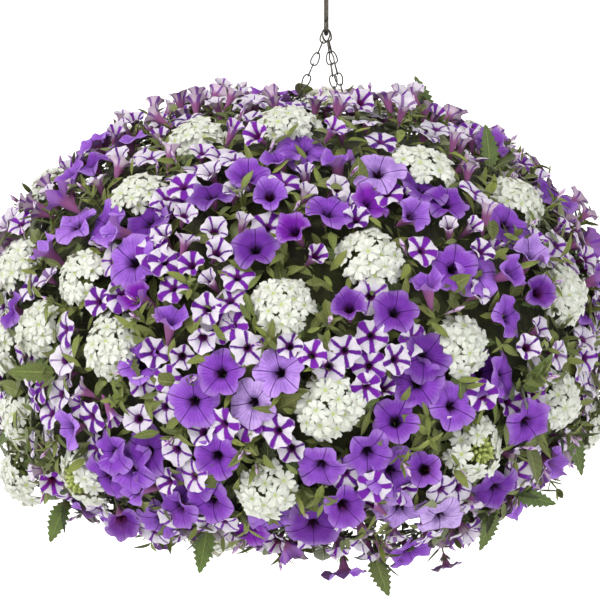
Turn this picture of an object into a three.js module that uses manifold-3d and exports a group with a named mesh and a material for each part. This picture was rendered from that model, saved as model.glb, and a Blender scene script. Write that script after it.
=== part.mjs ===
// Petunia hanging basket: a plastic pot full of soil on three wire-link chains and a hook, hidden in
// a ball of striped petunias, violet petunias and white verbena.
// Millimetres, +Z up. The origin is the point inside the hook's crook where it hangs from its support.
import * as THREE from "three";
import { mergeVertices } from "three/addons/utils/BufferGeometryUtils.js";
import Module from "manifold-3d";

const wasm = await Module();
wasm.setup();

const GAP = 0.4;                    // clear space between two pieces that rest on each other

// Hook: a bent rod with an open crook above and a small, nearly closed eye below, edge-on to the viewer
const ROD_RADIUS = 2.8;
const ROD_SIDES = 6;
const ROD_STEPS = 34;
const CROOK_RADIUS = 15;            // to the middle of the rod
const CROOK_TIP_ANGLE = 205;        // degrees round from +X, where the crook's free end stops
const CROOK_STEP = 20.5;            // degrees between the points of its curve
const NECK = [[0.72, 0.72], [0.15, 1.05]];      // the neck below the crook: out and down, in crook radii
const SHAFT_TOP = -34;
const EYE_RADIUS = 8;
const EYE_BOTTOM = -101;            // the middle of the rod at the bottom of the eye
const EYE_END_ANGLE = 300;          // degrees of the eye that the rod closes
const EYE_STEP = 30;
const EYE_NECK = 12;                // the shaft is straight down to this far above the eye

// Chain strands
const STRAND_AZIMUTHS = [170, 290, 50];
const STRAND_NAMES = ["left", "front", "back"];
const EYE_SEATS = [0, -35, 35];     // degrees along the eye, from its lowest point, one per strand
const LINKS = 27;
const LINK_WIRE = 1.0;              // radius of the link wire's corners
const LINK_SHAPE = { shoulder: 2.2, halfWidth: 4.3 };            // half a link's straight end and its width
const END_LINK_SHAPE = { shoulder: 3.6, halfWidth: 5 };            // wider, round the eye and the rim
const LINK_BITE = 0.45;             // how far neighbouring links press into each other
const LINK_SIDES = 3;
const RIM_PLAY = 1.2;               // the lowest link hangs this much further below the rim

// Pot and soil
const POT_RIM_Z = -449;
const POT_HEIGHT = 190;
const POT_RIM_RADIUS = 152.5;
const POT_TOP_RADIUS = 141.5;       // outside of the wall below the rim
const POT_BASE_RADIUS = 108;
const POT_WALL = 3;
const POT_BOTTOM_Z = POT_RIM_Z - POT_HEIGHT;
const RIM_HOLE_RADIUS = 3;
const RIM_HOLE_AT = 147;            // distance of the chain holes from the pot's axis
const DRAIN_HOLES = 4;
const DRAIN_HOLE_RADIUS = 6;
const DRAIN_RING_RADIUS = 62;
const SOIL_TOP_Z = POT_RIM_Z - 14;
const SOIL_CROWN = 5;               // how far the soil rises towards the middle
const PLANT_RING_RADIUS = 82;       // where the plants stand in the soil
const PLANT_STEM_RADIUS = 6;
const PLANT_STEM_DEPTH = 34;
const STEM_RISE = 30;               // how far a stem reaches up from the soil, into the growth
const ROUND_SIDES = 24;             // facets of the pot, the soil and the hollow that they sit in

// The mound of growth: a squarish ball whose axis lies beside the hook's
const MOUND = { x: -31, z: -443, radius: 372, up: 275, down: 254, upPower: 2.05, downPower: 3.0 };
// Lumps and dents of the growth: where, how far they spread, and how far they lift the flowers
const LUMPS = [
  { at: [-345, -90, -330], spread: 90, lift: 13 },
  { at: [-190, -170, -230], spread: 80, lift: -7 },
  { at: [60, -150, -190], spread: 85, lift: 10 },
  { at: [215, -130, -235], spread: 80, lift: -12 },
  { at: [300, -110, -590], spread: 100, lift: -16 },
  { at: [110, -210, -670], spread: 90, lift: 12 },
  { at: [-110, -230, -660], spread: 85, lift: -9 },
  { at: [-60, -370, -440], spread: 90, lift: 9 },
  { at: [150, -330, -420], spread: 70, lift: -8 },
  { at: [-300, 170, -400], spread: 110, lift: 12 },
  { at: [-120, 330, -330], spread: 90, lift: -11 },
  { at: [90, 340, -500], spread: 100, lift: 13 },
  { at: [300, 120, -420], spread: 90, lift: -10 },
  { at: [-190, 200, -640], spread: 100, lift: -9 },
  { at: [10, 150, -185], spread: 90, lift: 8 },
];
const DEEPEST_HEAD = -8;            // a verbena head is never lifted less than this, clear of the core
const CORE_DEPTH = 34;              // the leafy core lies this far inside the faces of the blooms
const FOOT_SINK = 18;               // and the flowers' feet reach this far into it
const CORE_SEGMENTS = 20;
const CORE_STEPS = 9;
const BELL_MOUTH_RADIUS = 132;      // the round hollow under the pot
const PLANTS = 6;
const PLANT_START = 50;             // azimuth of the first plane between two plants
const CHANNEL_HALF = 8.5;           // half the width of the gap in the growth round each strand
const CHANNEL_BEYOND = 18;          // and how far it runs on past the rim

// Flowers and leaves: radius, and the part of the mound's face that each keeps to itself
const STRIPED = { radius: 19, room: 16.5, throat: 5 };
const VIOLET = { radius: 27, room: 23, notch: 0.78, cup: 4.2, throat: 8 };
const VERBENA = { radius: 41, room: 45, height: 27, sunk: 0.6, lean: 0.4 };   // sunk: share of its height
const LEAF = { width: 17, room: 12, rise: -4, spread: 12 };       // how far it rises and spreads outwards
const TOOTHED = { width: 30, room: 13, rise: 14, spread: 16 };
const BLADE = { middle: 0.62, thickness: 1.2 };      // where along a leaf it is thickest, and half of that
const HEAD_STEM_RADIUS = 3;
const AXIS_RISE = 0.16;             // how far flowers turn up from the mound's normal
const AXIS_LEAN = 0.34;             // and how far they lean at random
const STAND = { spread: 9, most: 3 };                // random height over the mound's face
const SIZE = { least: 0.94, spread: 0.12 };
const STRAND_ROOM = 11;             // flowers stay this far from where a strand enters the growth
const CROWN_ROOM = 14;              // and from the point under the hook, where the plants meet
const PLANE_ROOM = 10;              // flower feet stay this far from the planes between plants
const PLANT_FENCE = 3;              // extra room between flowers of two plants
const SETTLE_ROUNDS = 80;

// The front of the mound is placed from a straight-on view, in whose 600 x 600 frame these points lie
const VIEW = { distance: 3000, elevation: 8, focal: 2500, middle: 300, lift: 24 };
const SIGHT = { nearer: 450, farther: 200, step: 2 };    // where along a line of sight the mound may lie
const VERBENA_AT = [
  [187, 138], [292, 122], [426, 172], [523, 193], [121, 218], [82, 263], [20, 263], [48, 306], [111, 325],
  [290, 298], [363, 262], [560, 287], [461, 338], [17, 348], [8, 387], [333, 402], [567, 401], [480, 446],
  [266, 485], [77, 480], [11, 481],
];
const VIOLET_AT = [
  [125, 137], [96, 162], [284, 159], [72, 217], [45, 249], [76, 239], [98, 244], [124, 265], [136, 288],
  [166, 314], [204, 205], [247, 197], [281, 203], [261, 249], [297, 249], [353, 183], [384, 177],
  [331, 234], [378, 213], [399, 229], [451, 205], [520, 232], [539, 263], [350, 308], [440, 272],
  [413, 265], [398, 303], [486, 282], [532, 290], [509, 315], [589, 282], [193, 403], [226, 368],
  [247, 387], [277, 376], [74, 429], [147, 449], [103, 449], [143, 489], [113, 508], [92, 517],
  [188, 508], [224, 463], [248, 539], [313, 450], [432, 363], [451, 399], [375, 414], [362, 434],
  [332, 498], [318, 522], [419, 465], [400, 514], [442, 508], [507, 364], [524, 420], [495, 487],
  [403, 546], [349, 569], [216, 503],
];
const STRIPED_AT = [
  [227, 115], [243, 87], [272, 99], [212, 126], [237, 138], [262, 145], [228, 162], [315, 107],
  [331, 119], [365, 128], [333, 143], [357, 103], [380, 90], [399, 109], [403, 138], [434, 130],
  [449, 147], [478, 149], [470, 164], [470, 188], [158, 161], [140, 169], [122, 166], [105, 191],
  [147, 191], [182, 190], [207, 173], [50, 195], [32, 199], [41, 218], [151, 213], [16, 232],
  [194, 225], [154, 244], [193, 251], [217, 244], [234, 230], [314, 191], [339, 196], [319, 207],
  [415, 200], [457, 222], [439, 228], [487, 221], [463, 242], [495, 257], [424, 249], [319, 267],
  [402, 315], [466, 295], [554, 182], [585, 200], [562, 242], [579, 244], [181, 265], [216, 265],
  [234, 263], [165, 280], [222, 276], [251, 284], [57, 307], [134, 340], [208, 315], [239, 332],
  [207, 345], [277, 341], [165, 347], [69, 350], [360, 332], [400, 336], [336, 346], [304, 340],
  [515, 341], [537, 335], [584, 334], [141, 362], [165, 358], [89, 370], [41, 384], [57, 393],
  [49, 410], [113, 414], [93, 427], [141, 418], [162, 402], [226, 410], [285, 404], [355, 375],
  [398, 384], [489, 400], [560, 359], [176, 448], [203, 462], [172, 477], [8, 449], [36, 472],
  [364, 474], [450, 489], [572, 443], [463, 525], [427, 533], [448, 552],
];
const TOOTHED_AT = [
  [430, 108], [499, 153], [20, 205], [36, 359], [46, 498], [528, 397], [522, 500], [497, 516],
  [589, 443], [205, 540], [370, 560],
];
const LEAF_AT = [
  [415, 126], [539, 174], [512, 364], [150, 540], [280, 555], [300, 225], [200, 290], [330, 315],
  [170, 425], [430, 430], [395, 440], [250, 440], [120, 395], [60, 455], [530, 360], [240, 215],
  [90, 205], [420, 120], [150, 330], [300, 480],
];

// The far side, by a rule: points of a golden spiral, every so many of which carry each kind
const SPIRAL_POINTS = 324;
const SPIRAL_CYCLE = "sVsBsLVssVsLBsVs";     // s striped, V violet, B verbena, L leaf
const SPIRAL_FRONT = 0.12;          // points whose normal turns this much to the viewer are left out
const UNDERSIDE_RADIUS = 175;       // and those under the mound nearer to the pot's axis than this
const SEED = 20240611;

const DEGREE = Math.PI / 180;
const UP = new THREE.Vector3(0, 0, 1);
const MOUND_CENTRE = new THREE.Vector3(MOUND.x, 0, MOUND.z);

// A repeatable draw between 0 and 1
function makeDraw(seed) {
  let state = seed >>> 0;
  return () => {
    state = (Math.imul(state, 1664525) + 1013904223) >>> 0;
    return state / 4294967296;
  };
}

// Solids

function solidFrom(points, faces) {
  const geometry = new THREE.BufferGeometry();
  geometry.setAttribute("position", new THREE.Float32BufferAttribute(points.flatMap((p) => [p.x, p.y, p.z]), 3));
  geometry.setIndex(faces.flat());
  return solidOf(geometry);
}

function solidOf(geometry) {
  const bare = geometry.clone();
  bare.deleteAttribute("normal");
  bare.deleteAttribute("uv");
  const merged = mergeVertices(bare, 1e-4);
  const at = merged.attributes.position;
  const index = Array.from(merged.index.array);
  const faces = [];
  let volume = 0;
  const [a, b, c] = [new THREE.Vector3(), new THREE.Vector3(), new THREE.Vector3()];
  for (let k = 0; k < index.length; k += 3) {
    const [i, j, l] = index.slice(k, k + 3);
    if (i === j || j === l || l === i) continue;
    faces.push([i, j, l]);
    volume += a.fromBufferAttribute(at, i).dot(b.fromBufferAttribute(at, j).cross(c.fromBufferAttribute(at, l)));
  }
  const outward = volume > 0 ? faces : faces.map(([i, j, l]) => [i, l, j]);
  return new wasm.Manifold(new wasm.Mesh({
    numProp: 3,
    vertProperties: new Float32Array(at.array),
    triVerts: new Uint32Array(outward.flat()),
  }));
}

function meshOf(name, solid, material) {
  const result = solid.getMesh();
  const geometry = new THREE.BufferGeometry();
  geometry.setAttribute("position", new THREE.Float32BufferAttribute(result.vertProperties, 3));
  geometry.setIndex(Array.from(result.triVerts));
  geometry.computeVertexNormals();
  const mesh = new THREE.Mesh(geometry, material);
  mesh.name = name;
  return mesh;
}

// A solid turned from a closed profile of [radius, height] points about an upright axis
function turned(profile, segments, axisX = 0) {
  const geometry = new THREE.LatheGeometry(profile.map(([r, z]) => new THREE.Vector2(r, z)), segments);
  geometry.rotateX(Math.PI / 2);
  geometry.translate(axisX, 0, 0);
  return solidOf(geometry);
}

// A straight prism with a regular section, from one point to another
function prism(from, to, radius, sides, spin = 0) {
  const axis = to.clone().sub(from);
  const geometry = new THREE.CylinderGeometry(radius, radius, axis.length(), sides);
  geometry.rotateY(spin);
  geometry.applyQuaternion(new THREE.Quaternion().setFromUnitVectors(
    new THREE.Vector3(0, 1, 0), axis.clone().normalize()));
  const middle = from.clone().add(to).multiplyScalar(0.5);
  geometry.translate(middle.x, middle.y, middle.z);
  return solidOf(geometry);
}

// The direction of an azimuth in the horizontal plane
function heading(azimuth) {
  return new THREE.Vector3(Math.cos(azimuth * DEGREE), Math.sin(azimuth * DEGREE), 0);
}

// Hook

function hookPath() {
  const points = [];
  const crookZ = ROD_RADIUS - CROOK_RADIUS;
  for (let angle = CROOK_TIP_ANGLE; angle >= 0; angle -= CROOK_STEP) {
    points.push(new THREE.Vector3(
      CROOK_RADIUS * Math.cos(angle * DEGREE), 0, crookZ + CROOK_RADIUS * Math.sin(angle * DEGREE)));
  }
  NECK.forEach(([out, down]) => {
    points.push(new THREE.Vector3(CROOK_RADIUS * out, 0, crookZ - CROOK_RADIUS * down));
  });
  points.push(new THREE.Vector3(0, 0, SHAFT_TOP));
  const eyeZ = EYE_BOTTOM + EYE_RADIUS;
  points.push(new THREE.Vector3(0, 0, eyeZ + EYE_RADIUS + EYE_NECK));
  for (let angle = 0; angle <= EYE_END_ANGLE; angle += EYE_STEP) {
    points.push(new THREE.Vector3(
      0, EYE_RADIUS * Math.sin(angle * DEGREE), eyeZ + EYE_RADIUS * Math.cos(angle * DEGREE)));
  }
  return new THREE.CatmullRomCurve3(points, false, "centripetal");
}

function makeHook() {
  const section = new THREE.Shape();
  for (let k = 0; k < ROD_SIDES; k += 1) {
    const angle = (k + 0.5) * 360 / ROD_SIDES * DEGREE;
    section[k ? "lineTo" : "moveTo"](ROD_RADIUS * Math.cos(angle), ROD_RADIUS * Math.sin(angle));
  }
  return solidOf(new THREE.ExtrudeGeometry(section, {
    steps: ROD_STEPS, extrudePath: hookPath(), bevelEnabled: false,
  }));
}

// Chains

// A closed loop of wire through points in one plane, whose normal is given
function wireLoop(points, normal, radius, sides) {
  const vertices = [];
  points.forEach((point, k) => {
    const before = points.at(k - 1);
    const after = points[(k + 1) % points.length];
    const inward = after.clone().sub(point).normalize().add(before.clone().sub(point).normalize()).normalize();
    const turn = after.clone().sub(point).normalize().angleTo(inward);
    for (let side = 0; side < sides; side += 1) {
      const angle = (side / sides) * 2 * Math.PI;
      vertices.push(point.clone()
        .addScaledVector(inward, radius * Math.cos(angle) / Math.sin(turn))
        .addScaledVector(normal, radius * Math.sin(angle)));
    }
  });
  const faces = [];
  points.forEach((_, k) => {
    const next = (k + 1) % points.length;
    for (let side = 0; side < sides; side += 1) {
      const [a, b] = [k * sides + side, k * sides + ((side + 1) % sides)];
      const [c, d] = [next * sides + ((side + 1) % sides), next * sides + side];
      faces.push([a, b, c], [a, c, d]);
    }
  });
  return solidFrom(vertices, faces);
}

function link(centre, along, across, halfLength, { shoulder, halfWidth }) {
  const outline = [
    [-shoulder, halfLength], [shoulder, halfLength], [halfWidth, 0],
    [shoulder, -halfLength], [-shoulder, -halfLength], [-halfWidth, 0],
  ];
  const points = outline.map(([x, y]) => centre.clone().addScaledVector(across, x).addScaledVector(along, y));
  return wireLoop(points, new THREE.Vector3().crossVectors(across, along), LINK_WIRE, LINK_SIDES);
}

// The ends of a strand: inside the eye above, and round the pot's rim below
function strandEnds(k) {
  const seat = EYE_SEATS[k] * DEGREE;
  const eyeMiddle = new THREE.Vector3(0, 0, EYE_BOTTOM + EYE_RADIUS);
  const onEye = eyeMiddle.add(new THREE.Vector3(0, Math.sin(seat), -Math.cos(seat)).multiplyScalar(EYE_RADIUS));
  const inRim = heading(STRAND_AZIMUTHS[k]).multiplyScalar((RIM_HOLE_AT + RIM_HOLE_RADIUS + POT_RIM_RADIUS) / 2);
  inRim.z = POT_RIM_Z - POT_WALL / 2;
  return { onEye, inRim, eyeAlong: new THREE.Vector3(0, Math.cos(seat), Math.sin(seat)) };
}

function makeStrand(k) {
  const { onEye, inRim, eyeAlong } = strandEnds(k);
  const down = inRim.clone().sub(onEye).normalize();
  const top = onEye.clone().addScaledVector(down, -(ROD_RADIUS + GAP + LINK_WIRE));
  const bottom = inRim.clone().addScaledVector(down, POT_WALL / 2 + GAP + LINK_WIRE + RIM_PLAY);
  const overlap = 2 * LINK_WIRE - LINK_BITE;
  const halfLength = (top.distanceTo(bottom) + (LINKS - 1) * overlap) / LINKS / 2;
  const pitch = 2 * halfLength - overlap;
  const firstAcross = new THREE.Vector3().crossVectors(down, eyeAlong).normalize();
  const lastAcross = heading(STRAND_AZIMUTHS[k]);
  lastAcross.addScaledVector(down, -lastAcross.dot(down)).normalize();
  const side = new THREE.Vector3().crossVectors(down, firstAcross);
  const turnToLast = Math.atan2(lastAcross.dot(side), lastAcross.dot(firstAcross));
  const quarters = (LINKS - 1) * Math.PI / 2;
  const spare = Math.atan2(Math.sin(2 * (turnToLast - quarters)), Math.cos(2 * (turnToLast - quarters))) / 2;
  let strand = null;
  for (let n = 0; n < LINKS; n += 1) {
    const turn = n * (Math.PI / 2 + spare / (LINKS - 1));
    const across = firstAcross.clone().applyAxisAngle(down, turn);
    const centre = top.clone().addScaledVector(down, halfLength + n * pitch);
    const shape = n === 0 || n === LINKS - 1 ? END_LINK_SHAPE : LINK_SHAPE;
    const piece = link(centre, down.clone().negate(), across, halfLength, shape);
    strand = strand ? strand.add(piece) : piece;
  }
  return strand;
}

// Pot and soil

// Inside radius of the pot's wall at a height
function potInside(z) {
  const top = POT_TOP_RADIUS - POT_WALL;
  const base = POT_BASE_RADIUS - POT_WALL;
  return base + (top - base) * (z - POT_BOTTOM_Z - POT_WALL) / (POT_HEIGHT - POT_WALL);
}

function makePot() {
  let pot = turned([
    [0, POT_BOTTOM_Z + POT_WALL],
    [potInside(POT_BOTTOM_Z + POT_WALL), POT_BOTTOM_Z + POT_WALL],
    [potInside(POT_RIM_Z), POT_RIM_Z],
    [POT_RIM_RADIUS, POT_RIM_Z],
    [POT_RIM_RADIUS, POT_RIM_Z - POT_WALL],
    [POT_TOP_RADIUS, POT_RIM_Z - POT_WALL],
    [POT_BASE_RADIUS, POT_BOTTOM_Z],
    [0, POT_BOTTOM_Z],
  ], ROUND_SIDES);
  const cut = (at, radius) => {
    const [low, high] = [at.clone().addScaledVector(UP, -10), at.clone().addScaledVector(UP, 10)];
    pot = pot.subtract(prism(low, high, radius, 8));
  };
  STRAND_AZIMUTHS.forEach((azimuth) => {
    cut(heading(azimuth).multiplyScalar(RIM_HOLE_AT).addScaledVector(UP, POT_RIM_Z), RIM_HOLE_RADIUS);
  });
  for (let k = 0; k < DRAIN_HOLES; k += 1) {
    const at = heading(k * 360 / DRAIN_HOLES + 45).multiplyScalar(DRAIN_RING_RADIUS);
    cut(at.addScaledVector(UP, POT_BOTTOM_Z), DRAIN_HOLE_RADIUS);
  }
  return pot;
}

// Where a plant stands in the soil
function plantFoot(k) {
  return heading(PLANT_START + (k + 0.5) * 360 / PLANTS).multiplyScalar(PLANT_RING_RADIUS);
}

function makeSoil() {
  const floor = POT_BOTTOM_Z + POT_WALL + GAP;
  let soil = turned([
    [0, floor],
    [potInside(floor) - GAP, floor],
    [potInside(SOIL_TOP_Z) - GAP, SOIL_TOP_Z],
    [PLANT_RING_RADIUS, SOIL_TOP_Z + SOIL_CROWN],
    [0, SOIL_TOP_Z + SOIL_CROWN],
  ], ROUND_SIDES);
  for (let k = 0; k < PLANTS; k += 1) {
    const top = plantFoot(k).setZ(SOIL_TOP_Z + 20);
    const bottom = plantFoot(k).setZ(SOIL_TOP_Z - PLANT_STEM_DEPTH - GAP);
    soil = soil.subtract(prism(bottom, top, PLANT_STEM_RADIUS + 2 * GAP, 6));
  }
  return soil;
}

// The mound's shape

function moundHalf(z) {
  return z >= MOUND.z ? [MOUND.up, MOUND.upPower] : [MOUND.down, MOUND.downPower];
}

// 1 on the mound's face, less inside it
function moundLevel(point) {
  const [height, power] = moundHalf(point.z);
  const out = Math.hypot(point.x - MOUND.x, point.y);
  return (out / MOUND.radius) ** power + (Math.abs(point.z - MOUND.z) / height) ** power;
}

// The point of the mound's face on the line from its centre through a point
function onMound(point) {
  const ray = point.clone().sub(MOUND_CENTRE);
  const [, power] = moundHalf(point.z);
  return ray.multiplyScalar(moundLevel(point) ** (-1 / power)).add(MOUND_CENTRE);
}

function moundNormal(point) {
  const [height, power] = moundHalf(point.z);
  const [dx, dz] = [point.x - MOUND.x, point.z - MOUND.z];
  const out = Math.max(Math.hypot(dx, point.y), 1e-6);
  const side = (out / MOUND.radius) ** (power - 1) / MOUND.radius;
  const rise = Math.sign(dz) * (Math.abs(dz) / height) ** (power - 1) / height;
  return new THREE.Vector3(side * dx / out, side * point.y / out, rise).normalize();
}

// The profile of the core, or of any shell parallel to the mound's face
function moundProfile(depth, steps) {
  const points = [];
  for (let k = 0; k <= steps; k += 1) {
    const angle = (k / steps - 0.5) * Math.PI;
    const aim = new THREE.Vector3(MOUND.x + Math.cos(angle), 0, MOUND.z + Math.sin(angle));
    const face = onMound(aim);
    const inner = face.addScaledVector(moundNormal(face), -depth);
    points.push([k === 0 || k === steps ? 0 : inner.x - MOUND.x, inner.z]);
  }
  return points;
}

// Placing the flowers

// The point of the mound that a point of the straight-on view shows, and how far it stands off the face
function seenInView([u, v]) {
  const lean = VIEW.elevation * DEGREE;
  const forward = new THREE.Vector3(0, Math.cos(lean), -Math.sin(lean));
  const above = new THREE.Vector3(0, Math.sin(lean), Math.cos(lean));
  const eye = MOUND_CENTRE.clone().addScaledVector(UP, VIEW.lift).addScaledVector(forward, -VIEW.distance);
  const ray = forward.clone().multiplyScalar(VIEW.focal)
    .add(new THREE.Vector3(u - VIEW.middle, 0, 0)).addScaledVector(above, VIEW.middle - v).normalize();
  let best = null;
  for (let reach = VIEW.distance - SIGHT.nearer; reach <= VIEW.distance + SIGHT.farther; reach += SIGHT.step) {
    const point = eye.clone().addScaledVector(ray, reach);
    const level = moundLevel(point);
    if (!best || level < best.level) best = { point, level };
    if (level <= 1) break;
  }
  const face = onMound(best.point);
  return { face, stand: best.level > 1 ? best.point.distanceTo(face) : 0 };
}

function strandExit(k) {
  const { onEye, inRim } = strandEnds(k);
  let t = 0;
  while (moundLevel(onEye.clone().lerp(inRim, t)) > 1) t += 0.01;
  return onEye.clone().lerp(inRim, t);
}

function placeItems() {
  const draw = makeDraw(SEED);
  const items = [];
  const put = (kind, face, stand) => {
    items.push({
      kind, face, stand: stand - draw() * STAND.spread + STAND.most,
      spin: draw() * 360, tilt: [draw() - 0.5, draw() - 0.5, draw() - 0.5],
      size: SIZE.least + SIZE.spread * draw(),
    });
  };
  const lists = [
    ["verbena", VERBENA_AT], ["violet", VIOLET_AT], ["striped", STRIPED_AT],
    ["toothed", TOOTHED_AT], ["leaf", LEAF_AT],
  ];
  lists.forEach(([kind, list]) => list.forEach((at) => {
    const { face, stand } = seenInView(at);
    put(kind, face, stand);
  }));
  const kinds = { s: "striped", V: "violet", B: "verbena", L: "leaf" };
  let placed = 0;
  for (let k = 0; k < SPIRAL_POINTS; k += 1) {
    const rise = 1 - 2 * (k + 0.5) / SPIRAL_POINTS;
    const angle = k * Math.PI * (3 - Math.sqrt(5));
    const flat = Math.sqrt(1 - rise * rise);
    const aim = new THREE.Vector3(
      MOUND.x + MOUND.radius * flat * Math.cos(angle), MOUND.radius * flat * Math.sin(angle),
      MOUND.z + MOUND.up * rise);
    const face = onMound(aim);
    const low = face.z < MOUND.z && Math.hypot(face.x, face.y) < UNDERSIDE_RADIUS;
    const toViewer = -moundNormal(face).y;
    if (low || toViewer > SPIRAL_FRONT) continue;
    put(kinds[SPIRAL_CYCLE[placed % SPIRAL_CYCLE.length]], face, 0);
    placed += 1;
  }
  return items;
}

const ROOM = {
  striped: STRIPED.room, violet: VIOLET.room, verbena: VERBENA.room, leaf: LEAF.room, toothed: TOOTHED.room,
};
const WEIGHT = { striped: 1, violet: 1.6, verbena: 4, leaf: 0.6, toothed: 0.6 };

// Push flowers that crowd each other apart along the mound's face, clear of the chains and the planes
function settle(items) {
  const fixed = STRAND_AZIMUTHS.map((_, k) => ({ face: strandExit(k), room: STRAND_ROOM }));
  fixed.push({ face: onMound(new THREE.Vector3(0, 0, MOUND.z + MOUND.up)), room: CROWN_ROOM });
  for (let round = 0; round < SETTLE_ROUNDS; round += 1) {
    const moves = items.map(() => new THREE.Vector3());
    items.forEach((a, i) => {
      for (let j = i + 1; j < items.length; j += 1) {
        const b = items[j];
        const apart = a.face.clone().sub(b.face);
        const fence = plantOf(a.face) === plantOf(b.face) ? 0 : PLANT_FENCE;
        const lack = ROOM[a.kind] + ROOM[b.kind] + fence - apart.length();
        if (lack <= 0) continue;
        apart.normalize();
        const share = WEIGHT[b.kind] / (WEIGHT[a.kind] + WEIGHT[b.kind]);
        moves[i].addScaledVector(apart, lack * share);
        moves[j].addScaledVector(apart, -lack * (1 - share));
      }
      fixed.forEach((post) => {
        const apart = a.face.clone().sub(post.face);
        const lack = ROOM[a.kind] + post.room - apart.length();
        if (lack > 0) moves[i].addScaledVector(apart.normalize(), lack);
      });
    });
    items.forEach((item, i) => {
      item.face = onMound(item.face.clone().addScaledVector(moves[i], 0.5));
      keepOffPlanes(item);
    });
  }
}

// Keep a flower's foot clear of the upright planes between the plants
function keepOffPlanes(item) {
  for (let k = 0; k < PLANTS; k += 1) {
    const along = heading(PLANT_START + k * 360 / PLANTS);
    const across = new THREE.Vector3(-along.y, along.x, 0);
    const off = item.face.dot(across);
    const ahead = item.face.x * along.x + item.face.y * along.y;
    if (ahead > 0 && Math.abs(off) < PLANE_ROOM) {
      item.face.addScaledVector(across, (off >= 0 ? 1 : -1) * (PLANE_ROOM - Math.abs(off)));
    }
  }
  item.face = onMound(item.face);
}

// How far the lumps lift a flower off the mound's face
function liftOf(item) {
  const lift = LUMPS.reduce((sum, lump) => {
    const far = item.face.distanceTo(new THREE.Vector3(...lump.at)) / lump.spread;
    return sum + lump.lift * Math.exp(-far * far);
  }, 0);
  return item.kind === "verbena" ? Math.max(lift, DEEPEST_HEAD) : lift;
}

// The frame that a flower stands in: its face's middle, its axis, two directions across, and its foot
function standOf(item) {
  const normal = moundNormal(item.face);
  const lean = item.kind === "verbena" ? AXIS_LEAN * VERBENA.lean : AXIS_LEAN;
  const axis = normal.clone().addScaledVector(UP, AXIS_RISE)
    .add(new THREE.Vector3(...item.tilt).multiplyScalar(lean)).normalize();
  const right = new THREE.Vector3().crossVectors(Math.abs(axis.z) < 0.9 ? UP : new THREE.Vector3(0, 1, 0), axis)
    .normalize().applyAxisAngle(axis, item.spin * DEGREE);
  const up = new THREE.Vector3().crossVectors(axis, right);
  const middle = item.face.clone().addScaledVector(normal, item.stand + liftOf(item));
  const foot = item.face.clone().addScaledVector(normal, -CORE_DEPTH - FOOT_SINK);
  return { normal, axis, right, up, middle, foot };
}

// A point given by its angle, radius and height in a flower's frame
function inStand({ middle, right, up, axis }, angle, radius, height) {
  return middle.clone()
    .addScaledVector(right, radius * Math.cos(angle * DEGREE))
    .addScaledVector(up, radius * Math.sin(angle * DEGREE))
    .addScaledVector(axis, height);
}

// A small striped petunia: a five-cornered funnel that tapers to its foot in the core
function stripedPetunia(item) {
  const stand = standOf(item);
  const points = [inStand(stand, 0, 0, -STRIPED.throat), stand.foot];
  const faces = [];
  for (let k = 0; k < 5; k += 1) {
    points.push(inStand(stand, 72 * k, STRIPED.radius * item.size, 0));
    const [corner, next] = [2 + k, 2 + ((k + 1) % 5)];
    faces.push([0, corner, next], [1, next, corner]);
  }
  return solidFrom(points, faces);
}

// A large violet petunia: five notched lobes round a sunken throat, on a tube that tapers to its foot
function violetPetunia(item) {
  const stand = standOf(item);
  const radius = VIOLET.radius * item.size;
  const points = [inStand(stand, 0, 0, -VIOLET.throat), stand.foot];
  for (let k = 0; k < 5; k += 1) {
    points.push(inStand(stand, 72 * k, radius, 0));
    points.push(inStand(stand, 72 * k + 36, radius * VIOLET.notch, -VIOLET.cup));
  }
  const tip = (k) => 2 + 2 * ((k + 5) % 5);
  const notch = (k) => tip(k) + 1;
  const faces = [];
  for (let k = 0; k < 5; k += 1) {
    faces.push([0, tip(k), notch(k)], [0, notch(k), tip(k + 1)]);
    faces.push([tip(k), notch(k - 1), notch(k)], [1, notch(k), notch(k - 1)]);
  }
  return solidFrom(points, faces);
}

// A verbena head: a dome of large florets, one on top and five round it, raised in relief, on a stalk
function verbenaHead(item) {
  const stand = standOf(item);
  const [size, tall] = [VERBENA.radius * item.size, VERBENA.height];
  const ring = (inner, outer) => Array.from({ length: 10 }, (_, k) => {
    const [radius, height] = k % 2 ? outer : inner;
    return inStand(stand, 36 * k, size * radius, tall * (height - VERBENA.sunk));
  });
  const points = [
    inStand(stand, 0, 0, tall * (0.8 - VERBENA.sunk)),
    ...ring([0.4, 1.0], [0.3, 0.72]),
    ...ring([0.62, 0.78], [0.66, 0.5]),
    ...ring([0.8, 0.2], [1.0, 0.3]),
    ...stalkRing(stand, HEAD_STEM_RADIUS, headBase(stand)),
    ...stalkRing(stand, HEAD_STEM_RADIUS, stalkEnd(stand, 0)),
  ];
  const faces = [];
  for (let k = 0; k < 10; k += 1) {
    const next = (k + 1) % 10;
    faces.push([0, 1 + k, 1 + next]);
    for (let level = 0; level < 2; level += 1) {
      const [near, far] = [1 + 10 * level, 11 + 10 * level];
      if (k % 2) faces.push([near + k, far + k, near + next], [far + k, far + next, near + next]);
      else faces.push([near + k, far + k, far + next], [near + k, far + next, near + next]);
    }
    const [neck, nextNeck] = [Math.floor(k * 0.3), Math.floor((k + 1) * 0.3) % 3];
    faces.push([21 + k, 31 + neck, 21 + next]);
    if (neck !== nextNeck) {
      faces.push([21 + next, 31 + neck, 31 + nextNeck]);
      faces.push([31 + neck, 34 + neck, 31 + nextNeck], [31 + nextNeck, 34 + neck, 34 + nextNeck]);
    }
  }
  faces.push([34, 36, 35]);
  return solidFrom(points, faces);
}

// The middle of a verbena head's underside
function headBase(stand) {
  return stand.middle.clone().addScaledVector(stand.axis, -VERBENA.height * VERBENA.sunk);
}

// Three corners of a verbena stalk round a point
function stalkRing(stand, radius, middle) {
  return [0, 1, 2].map((k) => inStand({ ...stand, middle }, 120 * k + 54, radius, 0));
}

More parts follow.
